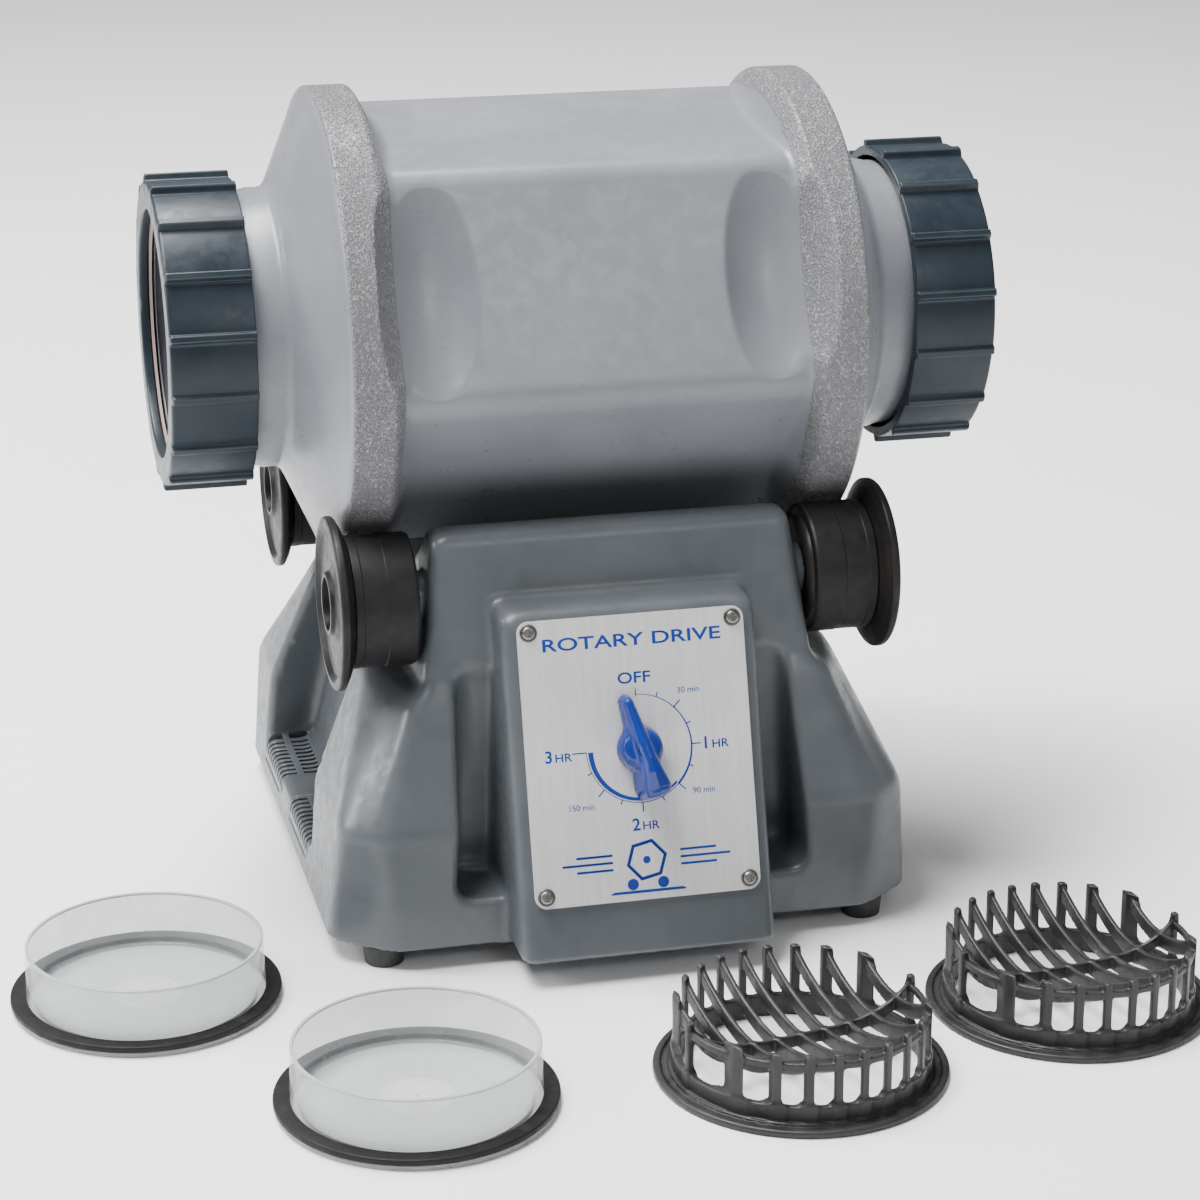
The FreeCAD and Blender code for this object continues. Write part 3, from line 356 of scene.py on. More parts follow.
def metal(name, dark, light, rough=(0.25, 0.42), grain=0.8):
    """Machined or cast metal: mottled colour and a fine grain."""
    s = Surface(name, Metallic=1.0)
    fine = s.noise(grain, 3.0, 0.6)
    s.colour(s.mix(s.spread(s.noise(12.0, 3.0)), dark, light))
    s.rough(s.spread(fine, *rough))
    s.relief((fine, 0.03, 0.4))
    return s.material


BAND_INNER, BAND_OUTER = (0.0866, 0.0876), (0.1088, 0.1094)    # metres; edges of the textured rings


def drum_plastic():
    """Satin blow-moulded plastic with a raised wormy texture on the two running rings."""
    s = Surface("drum_plastic", IOR=1.49)
    along = s.maths("ABSOLUTE", s.along_drum())
    band = s.maths("MULTIPLY", s.step(along, *BAND_INNER), s.step(along, *BAND_OUTER, 1.0, 0.0))
    tone = s.mix(s.step(s.noise(45.0, 4.0, 0.5), 0.35, 0.65), (0.185, 0.193, 0.215), (0.21, 0.218, 0.24))
    worms = s.step(s.noise(1.25, 1.0, 0.4, 0.9, s.stretched((1.3, 1.0, 1.0))), 0.42, 0.6)
    band_tone = s.mix(worms, (0.175, 0.178, 0.19), (0.27, 0.27, 0.28))
    s.colour(s.mix(band, tone, band_tone))
    s.rough(s.spread(s.noise(7.0, 3.0, 0.6, 0.5), 0.27, 0.38))
    s.relief(
        (s.maths("MULTIPLY", worms, band), 0.75, 1.0),
        (s.noise(0.35, 1.0), 0.02, 0.35),
        (s.noise(14.0, 2.0), 0.25, 0.2))
    return s.material


def brushed_plate():
    """Aluminium sheet brushed up and down."""
    s = Surface("plate_aluminium", Metallic=0.3, Anisotropic=0.4, IOR=1.5)
    lines = s.noise(0.3, 4.0, 0.7, coords=s.stretched((1.0, 0.02, 0.02)))
    broad = s.noise(3.0, 3.0, 0.6, coords=s.stretched((1.0, 0.05, 0.05)))
    tone = s.mix(s.spread(broad), (0.62, 0.62, 0.635), (0.7, 0.7, 0.715))
    s.colour(s.mix(s.step(lines, 0.35, 0.65, 0.0, 0.5), tone, (0.8, 0.8, 0.81)))
    s.rough(s.spread(lines, 0.34, 0.5))
    s.relief((lines, 0.02, 0.35))
    return s.material


def clear_material(name, rough, thin, thick, tone):
    """Clear plastic; its rims are made more opaque than its walls, a painted shade along the edges. thin and
    thick are the opacity of each.
    """
    s = Surface(name, IOR=1.49)
    s.colour(s.mix(s.noise(18.0), tone, [v * 1.04 for v in tone]))
    s.rough(s.spread(s.noise(3.0, 3.0, 0.6), *rough))
    cloud = s.spread(s.noise(14.0, 1.0), thin * 0.93, thin * 1.07)
    # Painted edge shade: convex rims get extra opacity, so the grey tone shows darker along them.
    rims = s.maths("MULTIPLY", s.edge_wear_and_rim_shade(0.51, 0.58), thick)
    s.put(s.maths("ADD", cloud, rims), s.shader.inputs["Alpha"])
    s.relief((s.noise(7.0, 1.0), 0.03, 0.08))
    return s.material


def laminated():
    """Stacked iron sheets, 0.5 mm thick, seen from their edges."""
    s = Surface("lamination_iron", Metallic=0.8)
    sheets = s.maths("FRACT", s.maths("MULTIPLY", s.along_drum(), 1 / (0.5 * MM)))
    s.colour(s.mix(s.step(sheets, 0.6, 0.95), (0.16, 0.16, 0.17), (0.08, 0.075, 0.07)))
    s.rough(s.spread(s.noise(4.0), 0.4, 0.6))
    s.relief((sheets, 0.08, 0.5))
    return s.material


PLASTICS = {
    "base_plastic": dict(
        dark=(0.072, 0.081, 0.09), light=(0.09, 0.1, 0.11), wear=(0.2, 0.21, 0.225),
        rough=(0.3, 0.44), grain=0.45, depth=0.03, patch=50.0, IOR=1.49),
    "cap_plastic": dict(
        dark=(0.012, 0.02, 0.028), light=(0.019, 0.028, 0.037), wear=(0.12, 0.14, 0.16),
        rough=(0.3, 0.42), depth=0.03, patch=25.0, shine=0.3),
    "washer_plastic": dict(dark=(0.42, 0.29, 0.27), light=(0.5, 0.36, 0.33), rough=(0.4, 0.6)),
    "roller_plastic": dict(
        dark=(0.008, 0.0075, 0.0075), light=(0.017, 0.0145, 0.0135), wear=(0.035, 0.03, 0.028),
        rough=(0.36, 0.52), grain=0.6, depth=0.02, shine=0.25),
    "roller_rubber": dict(
        dark=(0.005, 0.005, 0.006), light=(0.009, 0.009, 0.01), wear=(0.03, 0.03, 0.03),
        rough=(0.45, 0.6), grain=0.4, patch=7.0, shine=0.3),
    "foot_rubber": dict(
        dark=(0.012, 0.012, 0.012), light=(0.022, 0.022, 0.022), rough=(0.5, 0.7), depth=0.05, patch=6.0),
    "belt_rubber": dict(
        dark=(0.012, 0.012, 0.012), light=(0.025, 0.024, 0.023), rough=(0.6, 0.8),
        grain=0.7, depth=0.08, patch=5.0),
    "seal_rubber": dict(
        dark=(0.005, 0.005, 0.005), light=(0.009, 0.009, 0.009), wear=(0.03, 0.03, 0.03),
        rough=(0.5, 0.65), depth=0.03, patch=9.0, shine=0.25),
    "knob_blue": dict(
        dark=(0.004, 0.022, 0.19), light=(0.006, 0.03, 0.24), wear=(0.02, 0.07, 0.36),
        rough=(0.14, 0.24), grain=1.2, depth=0.01),
    "coil_wrap": dict(
        dark=(0.3, 0.1, 0.03), light=(0.5, 0.2, 0.07), rough=(0.2, 0.35), grain=0.9, depth=0.1, patch=8.0),
    "gear_nylon": dict(dark=(0.68, 0.65, 0.55), light=(0.76, 0.73, 0.64)),
    "fan_plastic": dict(dark=(0.03, 0.03, 0.034), light=(0.05, 0.05, 0.055)),
    "inlet_plastic": dict(dark=(0.015, 0.015, 0.016), light=(0.03, 0.03, 0.032), rough=(0.3, 0.45)),
    "strainer_plastic": dict(
        dark=(0.015, 0.0145, 0.015), light=(0.026, 0.025, 0.026), wear=(0.1, 0.095, 0.095),
        depth=0.03, patch=12.0, shine=0.35),
}
METALS = {
    "steel": dict(dark=(0.24, 0.23, 0.215), light=(0.34, 0.33, 0.31)),
    "bearing_bronze": dict(dark=(0.45, 0.31, 0.15), light=(0.6, 0.44, 0.22), rough=(0.35, 0.55)),
    "pin_brass": dict(dark=(0.68, 0.52, 0.25), light=(0.8, 0.65, 0.35), rough=(0.2, 0.35)),
    "gearbox_alloy": dict(dark=(0.42, 0.42, 0.42), light=(0.52, 0.52, 0.52), rough=(0.4, 0.6), grain=1.5),
    "bracket_steel": dict(dark=(0.13, 0.13, 0.12), light=(0.2, 0.2, 0.185), rough=(0.35, 0.5)),
}
M = {
    "drum_plastic": drum_plastic(),
    "plate_aluminium": brushed_plate(),
    "lamination_iron": laminated(),
    # The grey tone of the clear walls is painted shade that lets them show against the pale floor.
    "clear_plastic": clear_material("clear_plastic", (0.05, 0.12), 0.36, 0.5, (0.6, 0.62, 0.63)),
}
M.update({name: plastic(name, **look) for name, look in PLASTICS.items()})
M.update({name: metal(name, **look) for name, look in METALS.items()})


def dress_cad():
    """Every CAD node takes the material of its slot in the record."""
    slots = {row["node"]: row["material_slot"] for row in frame["record"]["subparts"]}
    for name, obj in NODES.items():
        for place in obj.material_slots:
            place.link = "OBJECT"
            place.material = M[slots[name]]


# ---- drum ------------------------------------------------------------------------------------
RING_R, RING_IN, RING_OUT = 102.0, 91.0, 109.3
FLANK_SLOPE, CONE_LEAD = 2.0, 0.2
HEX_R, HEX_ROUND, HEX_TURN = 97.6, 14.0, 50.9
CONE_END, NECK_R, NECK_END, NECK_BORE = 128.0, 60.0, 172.0, 50.6
SHOULDER_STEP, SHOULDER_AT = 0.5, 1.6       # a small drop just past the ring
NECK_STEP, NECK_STEP_X = 1.2, 140.0
MOUTH_EDGE_R, MOUTH_R = 57.6, 58.4
WALL_T, END_WALL_T, END_LOOK = 4.0, 1.5, 3.7
SCOOP_X, SCOOP_DEPTH, SCOOP_TUBE_R, SCOOP_SWEEP_R = 71.5, 8.0, 25.0, 105.0
HALF_FACE = math.radians(30)
APOTHEM = HEX_R * math.cos(HALF_FACE)
FRONT_FACE = math.pi - math.radians(HEX_TURN) + HALF_FACE    # angle of the middle of the front face
# (from, to, steps) along half the drum, finest where its outline turns
DRUM_STRETCHES = ((0, 44, 9), (44, 98, 55), (98, 107, 3), (107, 114, 12), (114, 131, 8), (131, 171.2, 8))
DRUM_TURNS = 384
INNER_END, INNER_ROWS = 171, 58


def from_face(angle, faces=6):
    """Angle from the middle of the nearest of some evenly spaced faces."""
    part = FULL_TURN / faces
    return np.abs((angle - FRONT_FACE + part / 2) % part - part / 2)


def hex_radius(off):
    """Radius of the hexagon with rounded corners, at an angle from the middle of a face."""
    inner = (APOTHEM - HEX_ROUND) / math.cos(HALF_FACE)
    flat = APOTHEM / np.cos(off)
    turn = HALF_FACE - off
    arc = inner * np.cos(turn) + np.sqrt(np.maximum(HEX_ROUND ** 2 - (inner * np.sin(turn)) ** 2, 0))
    return np.where(np.sin(off) * flat < inner * 0.5, flat, arc)


def scoop_radius(x, off):
    """Radius left by the finger scoop at a distance x from the middle, far outside beyond it."""
    reach = APOTHEM - SCOOP_DEPTH + SCOOP_SWEEP_R + SCOOP_TUBE_R
    across = np.maximum(SCOOP_TUBE_R ** 2 - (x - SCOOP_X) ** 2, 0)
    sweep = SCOOP_SWEEP_R + np.sqrt(across)
    room = sweep ** 2 - (reach * np.sin(off)) ** 2
    hit = reach * np.cos(off) - np.sqrt(np.maximum(room, 0))
    return np.where((room > 0) & (across > 0), hit, FAR_OUTSIDE)


def drum_radius(x, angle):
    """Outer radius of the drum at each x, either side of the middle, and each angle."""
    x = np.abs(x)[:, None]
    off = from_face(angle)[None, :]
    flank = RING_R + (x - RING_IN) * FLANK_SLOPE + 0 * off
    ring = smooth_min(np.full_like(flank, RING_R), flank, 2.6)
    body = smooth_max(hex_radius(off) + 0 * x, ring, 7.0)
    body = smooth_min(body, scoop_radius(x, from_face(angle, 2)[None, :]), 0.8)
    cone = RING_R - (x - RING_OUT + CONE_LEAD) * (RING_R - NECK_R) / (CONE_END - RING_OUT) + 0 * off
    cone = cone - SHOULDER_STEP * np.clip((x - RING_OUT - SHOULDER_AT) / 0.4, 0, 1)
    cone = smooth_max(cone, np.full_like(cone, NECK_R), 6.0)
    end = smooth_min(np.full_like(cone, RING_R), cone, 2.4)
    radius = np.where(x < (RING_IN + RING_OUT) / 2, np.minimum(body, RING_R), end)
    return radius - NECK_STEP * np.clip(x - NECK_STEP_X, 0, 1)


def drum_rows():
    """Rows of (x, radius at each angle) once round the section of the wall, and the angles."""
    half = np.concatenate(
        [np.linspace(start, end, steps, endpoint=False) for start, end, steps in DRUM_STRETCHES]
        + [[DRUM_STRETCHES[-1][1]]])
    angle = even_angles(DRUM_TURNS)
    outer_x = np.concatenate([-half[::-1], half[1:]])
    inner_x = np.linspace(INNER_END, -INNER_END, INNER_ROWS)
    inner = np.minimum(drum_radius(inner_x, angle) - WALL_T,
                       drum_radius(np.abs(inner_x) + END_LOOK, angle) - END_WALL_T)
    inner = np.maximum(inner, NECK_BORE)
    bevel = NECK_END - 0.2
    along = np.concatenate([[-NECK_END, -bevel], outer_x, [bevel, NECK_END, NECK_END], inner_x, [-NECK_END]])
    flat = np.ones((1, DRUM_TURNS))
    radius = np.concatenate([
        MOUTH_EDGE_R * flat, MOUTH_R * flat, drum_radius(outer_x, angle), MOUTH_R * flat, MOUTH_EDGE_R * flat,
        NECK_BORE * flat, inner, NECK_BORE * flat])
    return along, radius, angle


def build_drum():
    along, radius, angle = drum_rows()
    rows, cols = radius.shape
    spread = np.repeat(along[:, None], cols, axis=1)
    points = np.stack([spread, radius * np.cos(angle), radius * np.sin(angle)], axis=-1)
    down = np.roll(points, -1, axis=0) - np.roll(points, 1, axis=0)
    around = np.roll(points, -1, axis=1) - np.roll(points, 1, axis=1)
    normals = np.cross(around, down).reshape(-1, 3)
    normals /= np.maximum(np.linalg.norm(normals, axis=1, keepdims=True), 1e-9)
    points = points.reshape(-1, 3) + np.array([0, 0, AXIS_Z])
    faces = closed_grid(rows, cols)
    middle = rows // 4 * cols                        # a point on the outside
    outward = points[middle] - np.array([points[middle][0], 0, AXIS_Z])
    if (normals[middle] * outward).sum() < 0:
        normals = -normals
    a, b, c = (points[i] for i in faces[middle][:3])
    if (np.cross(b - a, c - a) * outward).sum() < 0:
        faces = [face[::-1] for face in faces]
    mesh = skin_mesh("drum", [(points, faces, normals)])
    add_piece("drum", mesh, M["drum_plastic"], "drum", DRUM_NODES, weighted=False)


# ---- caps ------------------------------------------------------------------------------------
CAP_RIBS = 16
CAP_R, CAP_RIB_R, CAP_PANEL = 64.6, 67.8, 0.9
CAP_IN, CAP_LIP, CAP_OUT = 142.6, 174.8, 178.8
CAP_BORE, CAP_MOUTH_R = 61.0, 53.0
RIB_PITCH = FULL_TURN / CAP_RIBS
RIB_HALF, RIB_FLANK = 2.0, 0.8              # half width at the foot of a rib, and of its slope
RIB_SPAN, PANEL_START = 0.036, 0.055        # radians from the middle of a rib


def cap_angles():
    """Turning angles with extra steps at the flanks of each rib."""
    steps = np.concatenate([np.linspace(-RIB_SPAN, RIB_SPAN, 13),
                            np.linspace(PANEL_START, RIB_PITCH - PANEL_START, 9)])
    return np.concatenate([steps + RIB_PITCH * (i + 0.5) for i in range(CAP_RIBS)])


def cap_swell(angle, line):
    """Narrow rounded ribs on the outside of the cap, panels sloping up to each of them."""
    off = (angle / RIB_PITCH % 1 - 0.5) * RIB_PITCH * CAP_R
    rib = (CAP_RIB_R - CAP_R) * np.clip((RIB_HALF - np.abs(off)) / RIB_FLANK, 0, 1) ** 0.6
    panel = CAP_PANEL * ((angle / RIB_PITCH + 0.5) % 1)
    outside = np.clip((line[:, 1] - CAP_R + 1.6) / 1.4, 0, 1)
    return line[None, :, 1] + np.maximum(rib, panel)[:, None] * outside[None, :]


def build_caps():
    section = rounded([
        (CAP_IN, CAP_BORE, 0.4), (CAP_IN, CAP_R, 0.8), (CAP_OUT, CAP_R, 1.6), (CAP_OUT, CAP_MOUTH_R, 1.2),
        (CAP_LIP, CAP_MOUTH_R, 0.6), (CAP_LIP, CAP_BORE, 0.4)], 5)
    for name, side in (("left_cap", -1), ("right_cap", 1)):
        outline = [(side * a, r) for a, r in section]
        mesh = lathe(name + "_mesh", outline, "X", (0, 0, AXIS_Z), cap_angles(), cap_swell)
        add_piece(name + "_shell", mesh, M["cap_plastic"], name + "_ring", [name],
                  weighted=False)


# ---- base housing ----------------------------------------------------------------------------
FLOOR_Z, KINK_Z, SHOULDER_Z, BASE_TOP, LEDGE_Z = 9.0, 60.0, 115.0, 178.5, 27.0
WALL = 4.0
# half sizes of the legs at the floor, the kink and the shoulder
CORNER_FRONT_X, CORNER_FRONT_Y = (103.0, 107.0, 88.5), (136.0, 136.0, 114.0)    # cut corner's front end
CORNER_SIDE_X, CORNER_SIDE_Y = (128.0, 123.5, 101.0), (116.0, 121.5, 77.0)      # and its side end
KINK_SOFTNESS = 3.0
# pairs are sizes at the foot and at the top
CORE_FOOT_Z, CORE_X, CORE_Y = 100.0, (86.3, 77.0), (117.0, 97.0)
VALLEY_X, VALLEY_LEAST_X = (104.0, 84.0), 85.0
VALLEY_FRONT_Y, VALLEY_REAR_Y = (-57.0, -49.0), (78.0, 66.0)
POCKET_FOOT_Z, POCKET_TOP_Z = 30.0, 124.0
POCKET_X, POCKET_Y, POCKET_INNER_X = (76.4, 71.0), (-104.0, -109.0), 46.0
BLOCK_X, BLOCK_TOP_Z, BLOCK_REAR_Y, BLOCK_FOOT_Z = 54.6, 151.0, -80.0, 11.5
DRUM_ROOM_R = 106.0
ROLLER_Y, ROLLER_Z = 85.3, 148.5
BOSS_R, BOSS_FROM, BOSS_TO, BEARING_HOLE_R, BEARING_HOLE_TO = 11.0, 74.0, 84.9, 8.1, 90.0
POST_R, POST_FOOT_Z = 5.0, 12.3
POSTS = ((62.0, -128.0, 26.5), (62.0, 128.0, 23.5), (114.0, 15.0, 23.5))    # x, y, top
TIMER_HOLE_R, TIMER_HOLE_DEEP = 5.2, 12.0
INLET_X, INLET_Z, INLET_HALF_X, INLET_HALF_Z, INLET_FROM_Y = -70.0, 36.0, 13.8, 10.3, 120.0
FACE_LEAN = math.radians(17)
FACE_AT = (-141.7, 90.6)         # y, z of the middle of the plate
DIAL_AT = (-140.677, 93.947)     # y, z of the dial centre
LOUVRE_GROUPS = (-23.0, 53.0)
LOUVRE_PITCH, LOUVRES, LOUVRE_HALF = 4.9, 10, 1.2
INNER_SLOT, INNER_SLOT_Z = (107.5, 115.5), 18.0
OUTER_SLOT, OUTER_SLOT_Z = (118.5, 131.0), 21.5
VENT_HALF_Y, VENT_FROM_X, VENT_LOW_Z, VENT_HIGH_Z = 25.0, 106.4, 18.6, 29.5
VENT_OVERLAP = 0.7


def bent(z, values):
    """Size at a height, between its values at the floor, kink and shoulder; soft at the kink."""
    knots = (FLOOR_Z, KINK_Z, SHOULDER_Z)
    return sum(np.interp(z + shift, knots, values) for shift in (-KINK_SOFTNESS, 0.0, KINK_SOFTNESS)) / 3


def out_of_face(y, z, at):
    """Distance out of the leaning front face, from a point on it."""
    return (z - at[1]) * math.sin(FACE_LEAN) - (y - at[0]) * math.cos(FACE_LEAN)


def legs_field(side, end, z):
    front_x, front_y = bent(z, CORNER_FRONT_X), bent(z, CORNER_FRONT_Y)
    side_x, side_y = bent(z, CORNER_SIDE_X), bent(z, CORNER_SIDE_Y)
    lean_x, lean_y = front_y - side_y, side_x - front_x
    corner = ((side - side_x) * lean_x + (end - side_y) * lean_y) / hypot(lean_x, lean_y)
    plan = smooth_max(smooth_max(end - front_y, side - side_x, 5.0), corner, 6.0)
    return smooth_max(plan, z - SHOULDER_Z, 7.0)


def core_field(side, end, z):
    """Upper block that carries the rollers."""
    rise = (z - CORE_FOOT_Z) / (BASE_TOP - CORE_FOOT_Z)
    core = smooth_max(side - between(CORE_X, rise), end - between(CORE_Y, rise), 6.0)
    return smooth_max(core, np.maximum(z - BASE_TOP, CORE_FOOT_Z - z), 6.0)


def valley_field(side, y, z):
    """Space over the ledge, between the legs of one side."""
    rise = np.clip((z - LEDGE_Z) / (SHOULDER_Z + 1 - LEDGE_Z), 0, 1)
    valley = smooth_max(LEDGE_Z - z, np.maximum(between(VALLEY_X, rise), VALLEY_LEAST_X) - side, 8.0)
    along = np.maximum(between(VALLEY_FRONT_Y, rise) - y, y - between(VALLEY_REAR_Y, rise))
    return smooth_max(valley, along, 8.0)


def pocket_field(side, y, z):
    """Recess beside the front block."""
    rise = (z - POCKET_FOOT_Z) / (POCKET_TOP_Z - POCKET_FOOT_Z)
    pocket = smooth_max(side - between(POCKET_X, rise), y - between(POCKET_Y, rise), 7.0)
    pocket = smooth_max(pocket, np.maximum(POCKET_FOOT_Z - z, z - POCKET_TOP_Z), 9.0)
    return np.maximum(pocket, POCKET_INNER_X - side)


def block_field(side, y, z, open_below):
    """Front block behind the plate."""
    block = smooth_max(out_of_face(y, z, FACE_AT), side - BLOCK_X, 7.0)
    block = smooth_max(block, smooth_max(z - BLOCK_TOP_Z, y - BLOCK_REAR_Y, 2.0), 7.0)
    return block if open_below else smooth_max(block, BLOCK_FOOT_Z - z, 2.0)


def base_field(x, y, z, open_below=False):
    """Negative inside the solid outline of the base."""
    side, end = np.abs(x), np.abs(y)
    body = smooth_min(legs_field(side, end, z), core_field(side, end, z), 6.0)
    body = smooth_max(body, -valley_field(side, y, z), 4.0)
    body = smooth_max(body, -pocket_field(side, y, z), 3.5)
    body = smooth_min(body, block_field(side, y, z, open_below), 4.0)
    return smooth_max(body, DRUM_ROOM_R - hypot(y, z - AXIS_Z), 4.0)


def shell_field(x, y, z):
    """Wall of the base, open below, with its bearing bosses, screw posts and holes."""
    outside = np.maximum(base_field(x, y, z), FLOOR_Z - z)
    shell = np.maximum(outside, -base_field(x, y, z, True) - WALL)
    side = np.abs(x)
    bearing = hypot(np.abs(y) - ROLLER_Y, z - ROLLER_Z)
    shell = smooth_min(shell, all_of(bearing - BOSS_R, BOSS_FROM - side, side - BOSS_TO), 1.5)
    shell = np.maximum(shell, -np.maximum(bearing - BEARING_HOLE_R, side - BEARING_HOLE_TO))
    for post_x, post_y, top in POSTS:
        post = all_of(hypot(side - post_x, y - post_y) - POST_R, z - top, POST_FOOT_Z - z)
        shell = np.minimum(shell, post)
    out = out_of_face(y, z, DIAL_AT)
    up = (z - DIAL_AT[1]) * math.cos(FACE_LEAN) + (y - DIAL_AT[0]) * math.sin(FACE_LEAN)
    shell = np.maximum(shell, -np.maximum(hypot(x, up) - TIMER_HOLE_R, np.abs(out) - TIMER_HOLE_DEEP))
    inlet = all_of(np.abs(x - INLET_X) - INLET_HALF_X, np.abs(z - INLET_Z) - INLET_HALF_Z, INLET_FROM_Y - y)
    return np.maximum(shell, -inlet)


def vent_box(x, y, z, margin):
    """Negative inside the two vented stretches of each side ledge."""
    group = np.minimum(np.abs(y - LOUVRE_GROUPS[0]), np.abs(y - LOUVRE_GROUPS[1]))
    return all_of(group - VENT_HALF_Y, VENT_FROM_X - np.abs(x), VENT_LOW_Z - z, z - VENT_HIGH_Z) - margin


def plain_shell(x, y, z):
    return np.maximum(shell_field(x, y, z), -vent_box(x, y, z, 0.0))


def vented_shell(x, y, z):
    """The ledge with its two rows of slots."""
    shell = np.maximum(shell_field(x, y, z), vent_box(x, y, z, VENT_OVERLAP))
    side = np.abs(x)
    for middle in LOUVRE_GROUPS:
        index = np.clip(np.round((y - middle) / LOUVRE_PITCH + (LOUVRES - 1) / 2), 0, LOUVRES - 1)
        off = np.abs(y - middle - (index - (LOUVRES - 1) / 2) * LOUVRE_PITCH) - LOUVRE_HALF
        inner = all_of(off, INNER_SLOT[0] - side, side - INNER_SLOT[1], INNER_SLOT_Z - z)
        outer = all_of(off, OUTER_SLOT[0] - side, side - OUTER_SLOT[1], OUTER_SLOT_Z - z)
        shell = smooth_max(shell, -np.minimum(inner, outer), 0.5)
    return shell


def build_base():
    """The housing on a coarse grid, its vented stretches on a fine one."""
    skins = [field_skin(plain_shell, (-132, -172, 6), (132, 140, 182), 1.5, 0.06, shell_field)]
    for side in (-1, 1):
        for middle in LOUVRE_GROUPS:
            near, far = sorted((side * 104.0, side * OUTER_SLOT[1]))
            low = (near, middle - 27.5, 16.0)
            high = (far, middle + 27.5, 33.0)
            skins.append(field_skin(vented_shell, low, high, 0.6, 0.03, shell_field))
    mesh = skin_mesh("base_shell", skins)
    add_piece("base_shell", mesh, M["base_plastic"], "base", ["base_housing"], weighted=False)


# ---- rollers ---------------------------------------------------------------------------------
def build_rollers():
    hub = rounded([
        (85.4, 4.1, 0), (85.4, 23.0, 0), (112.6, 23.0, 0), (112.6, 28.6, 0.4), (114.2, 33.0, 1.5),
        (116.2, 36.6, 1.2), (119.4, 36.6, 1.6), (119.9, 33.2, 0.8), (117.7, 30.6, 1.4), (117.5, 19.0, 3.0),
        (118.8, 14.0, 1.0), (120.6, 12.8, 0.5), (120.6, 11.2, 0.5), (113.6, 10.6, 0.5), (113.6, 4.1, 0)], 5)
    tyre = rounded([
        (85.4, 23.0, 0), (85.4, 27.4, 0.5), (86.6, 28.0, 0.6), (98.0, 28.0, 0.3), (98.4, 27.75, 0.2),
        (108.4, 27.75, 0.2), (108.8, 28.0, 0.3), (112.3, 28.0, 0.5), (112.3, 23.0, 0)], 4)
    for y, row in ((-ROLLER_Y, "front"), (ROLLER_Y, "rear")):
        for side, hand in ((-1, "left"), (1, "right")):
            for kind, slot, section in (("hub", "roller_plastic", hub), ("tyre", "roller_rubber", tyre)):
                node = "roller_" + kind + "_" + row + "_" + hand
                outline = [(side * a, r) for a, r in section]
                mesh = lathe(node + "_mesh", outline, "X", (0, y, ROLLER_Z), even_angles(120))
                add_piece(node + "_shape", mesh, M[slot], row + "_axle_set", [node])


# ---- dial plate ------------------------------------------------------------------------------
PLATE_T, INK_UNDER, INK_OVER = 1.2, 0.02, 0.05
KNOB_REST = math.radians(14)
MARK_TURN, MARKS = 22.5, 12          # degrees for a quarter of an hour
DIAL_R = 22.5
SIGN_Y = -46.5                       # height of the sign's middle under the dial
SCREW_XS, SCREW_YS = (-43.5, 43.5), (-58.25, 51.25)


def on_plate(points, normals=None):
    """Points (x right, y up, z out of the plate, from the dial centre) and directions, in the frame."""
    def turned(v):
        along_y = v[:, 1] * math.sin(FACE_LEAN) - v[:, 2] * math.cos(FACE_LEAN)
        along_z = v[:, 1] * math.cos(FACE_LEAN) + v[:, 2] * math.sin(FACE_LEAN)
        return np.stack([v[:, 0], along_y, along_z], axis=-1)

    moved = turned(points) + np.array([0, *DIAL_AT])
    return moved if normals is None else (moved, turned(normals))


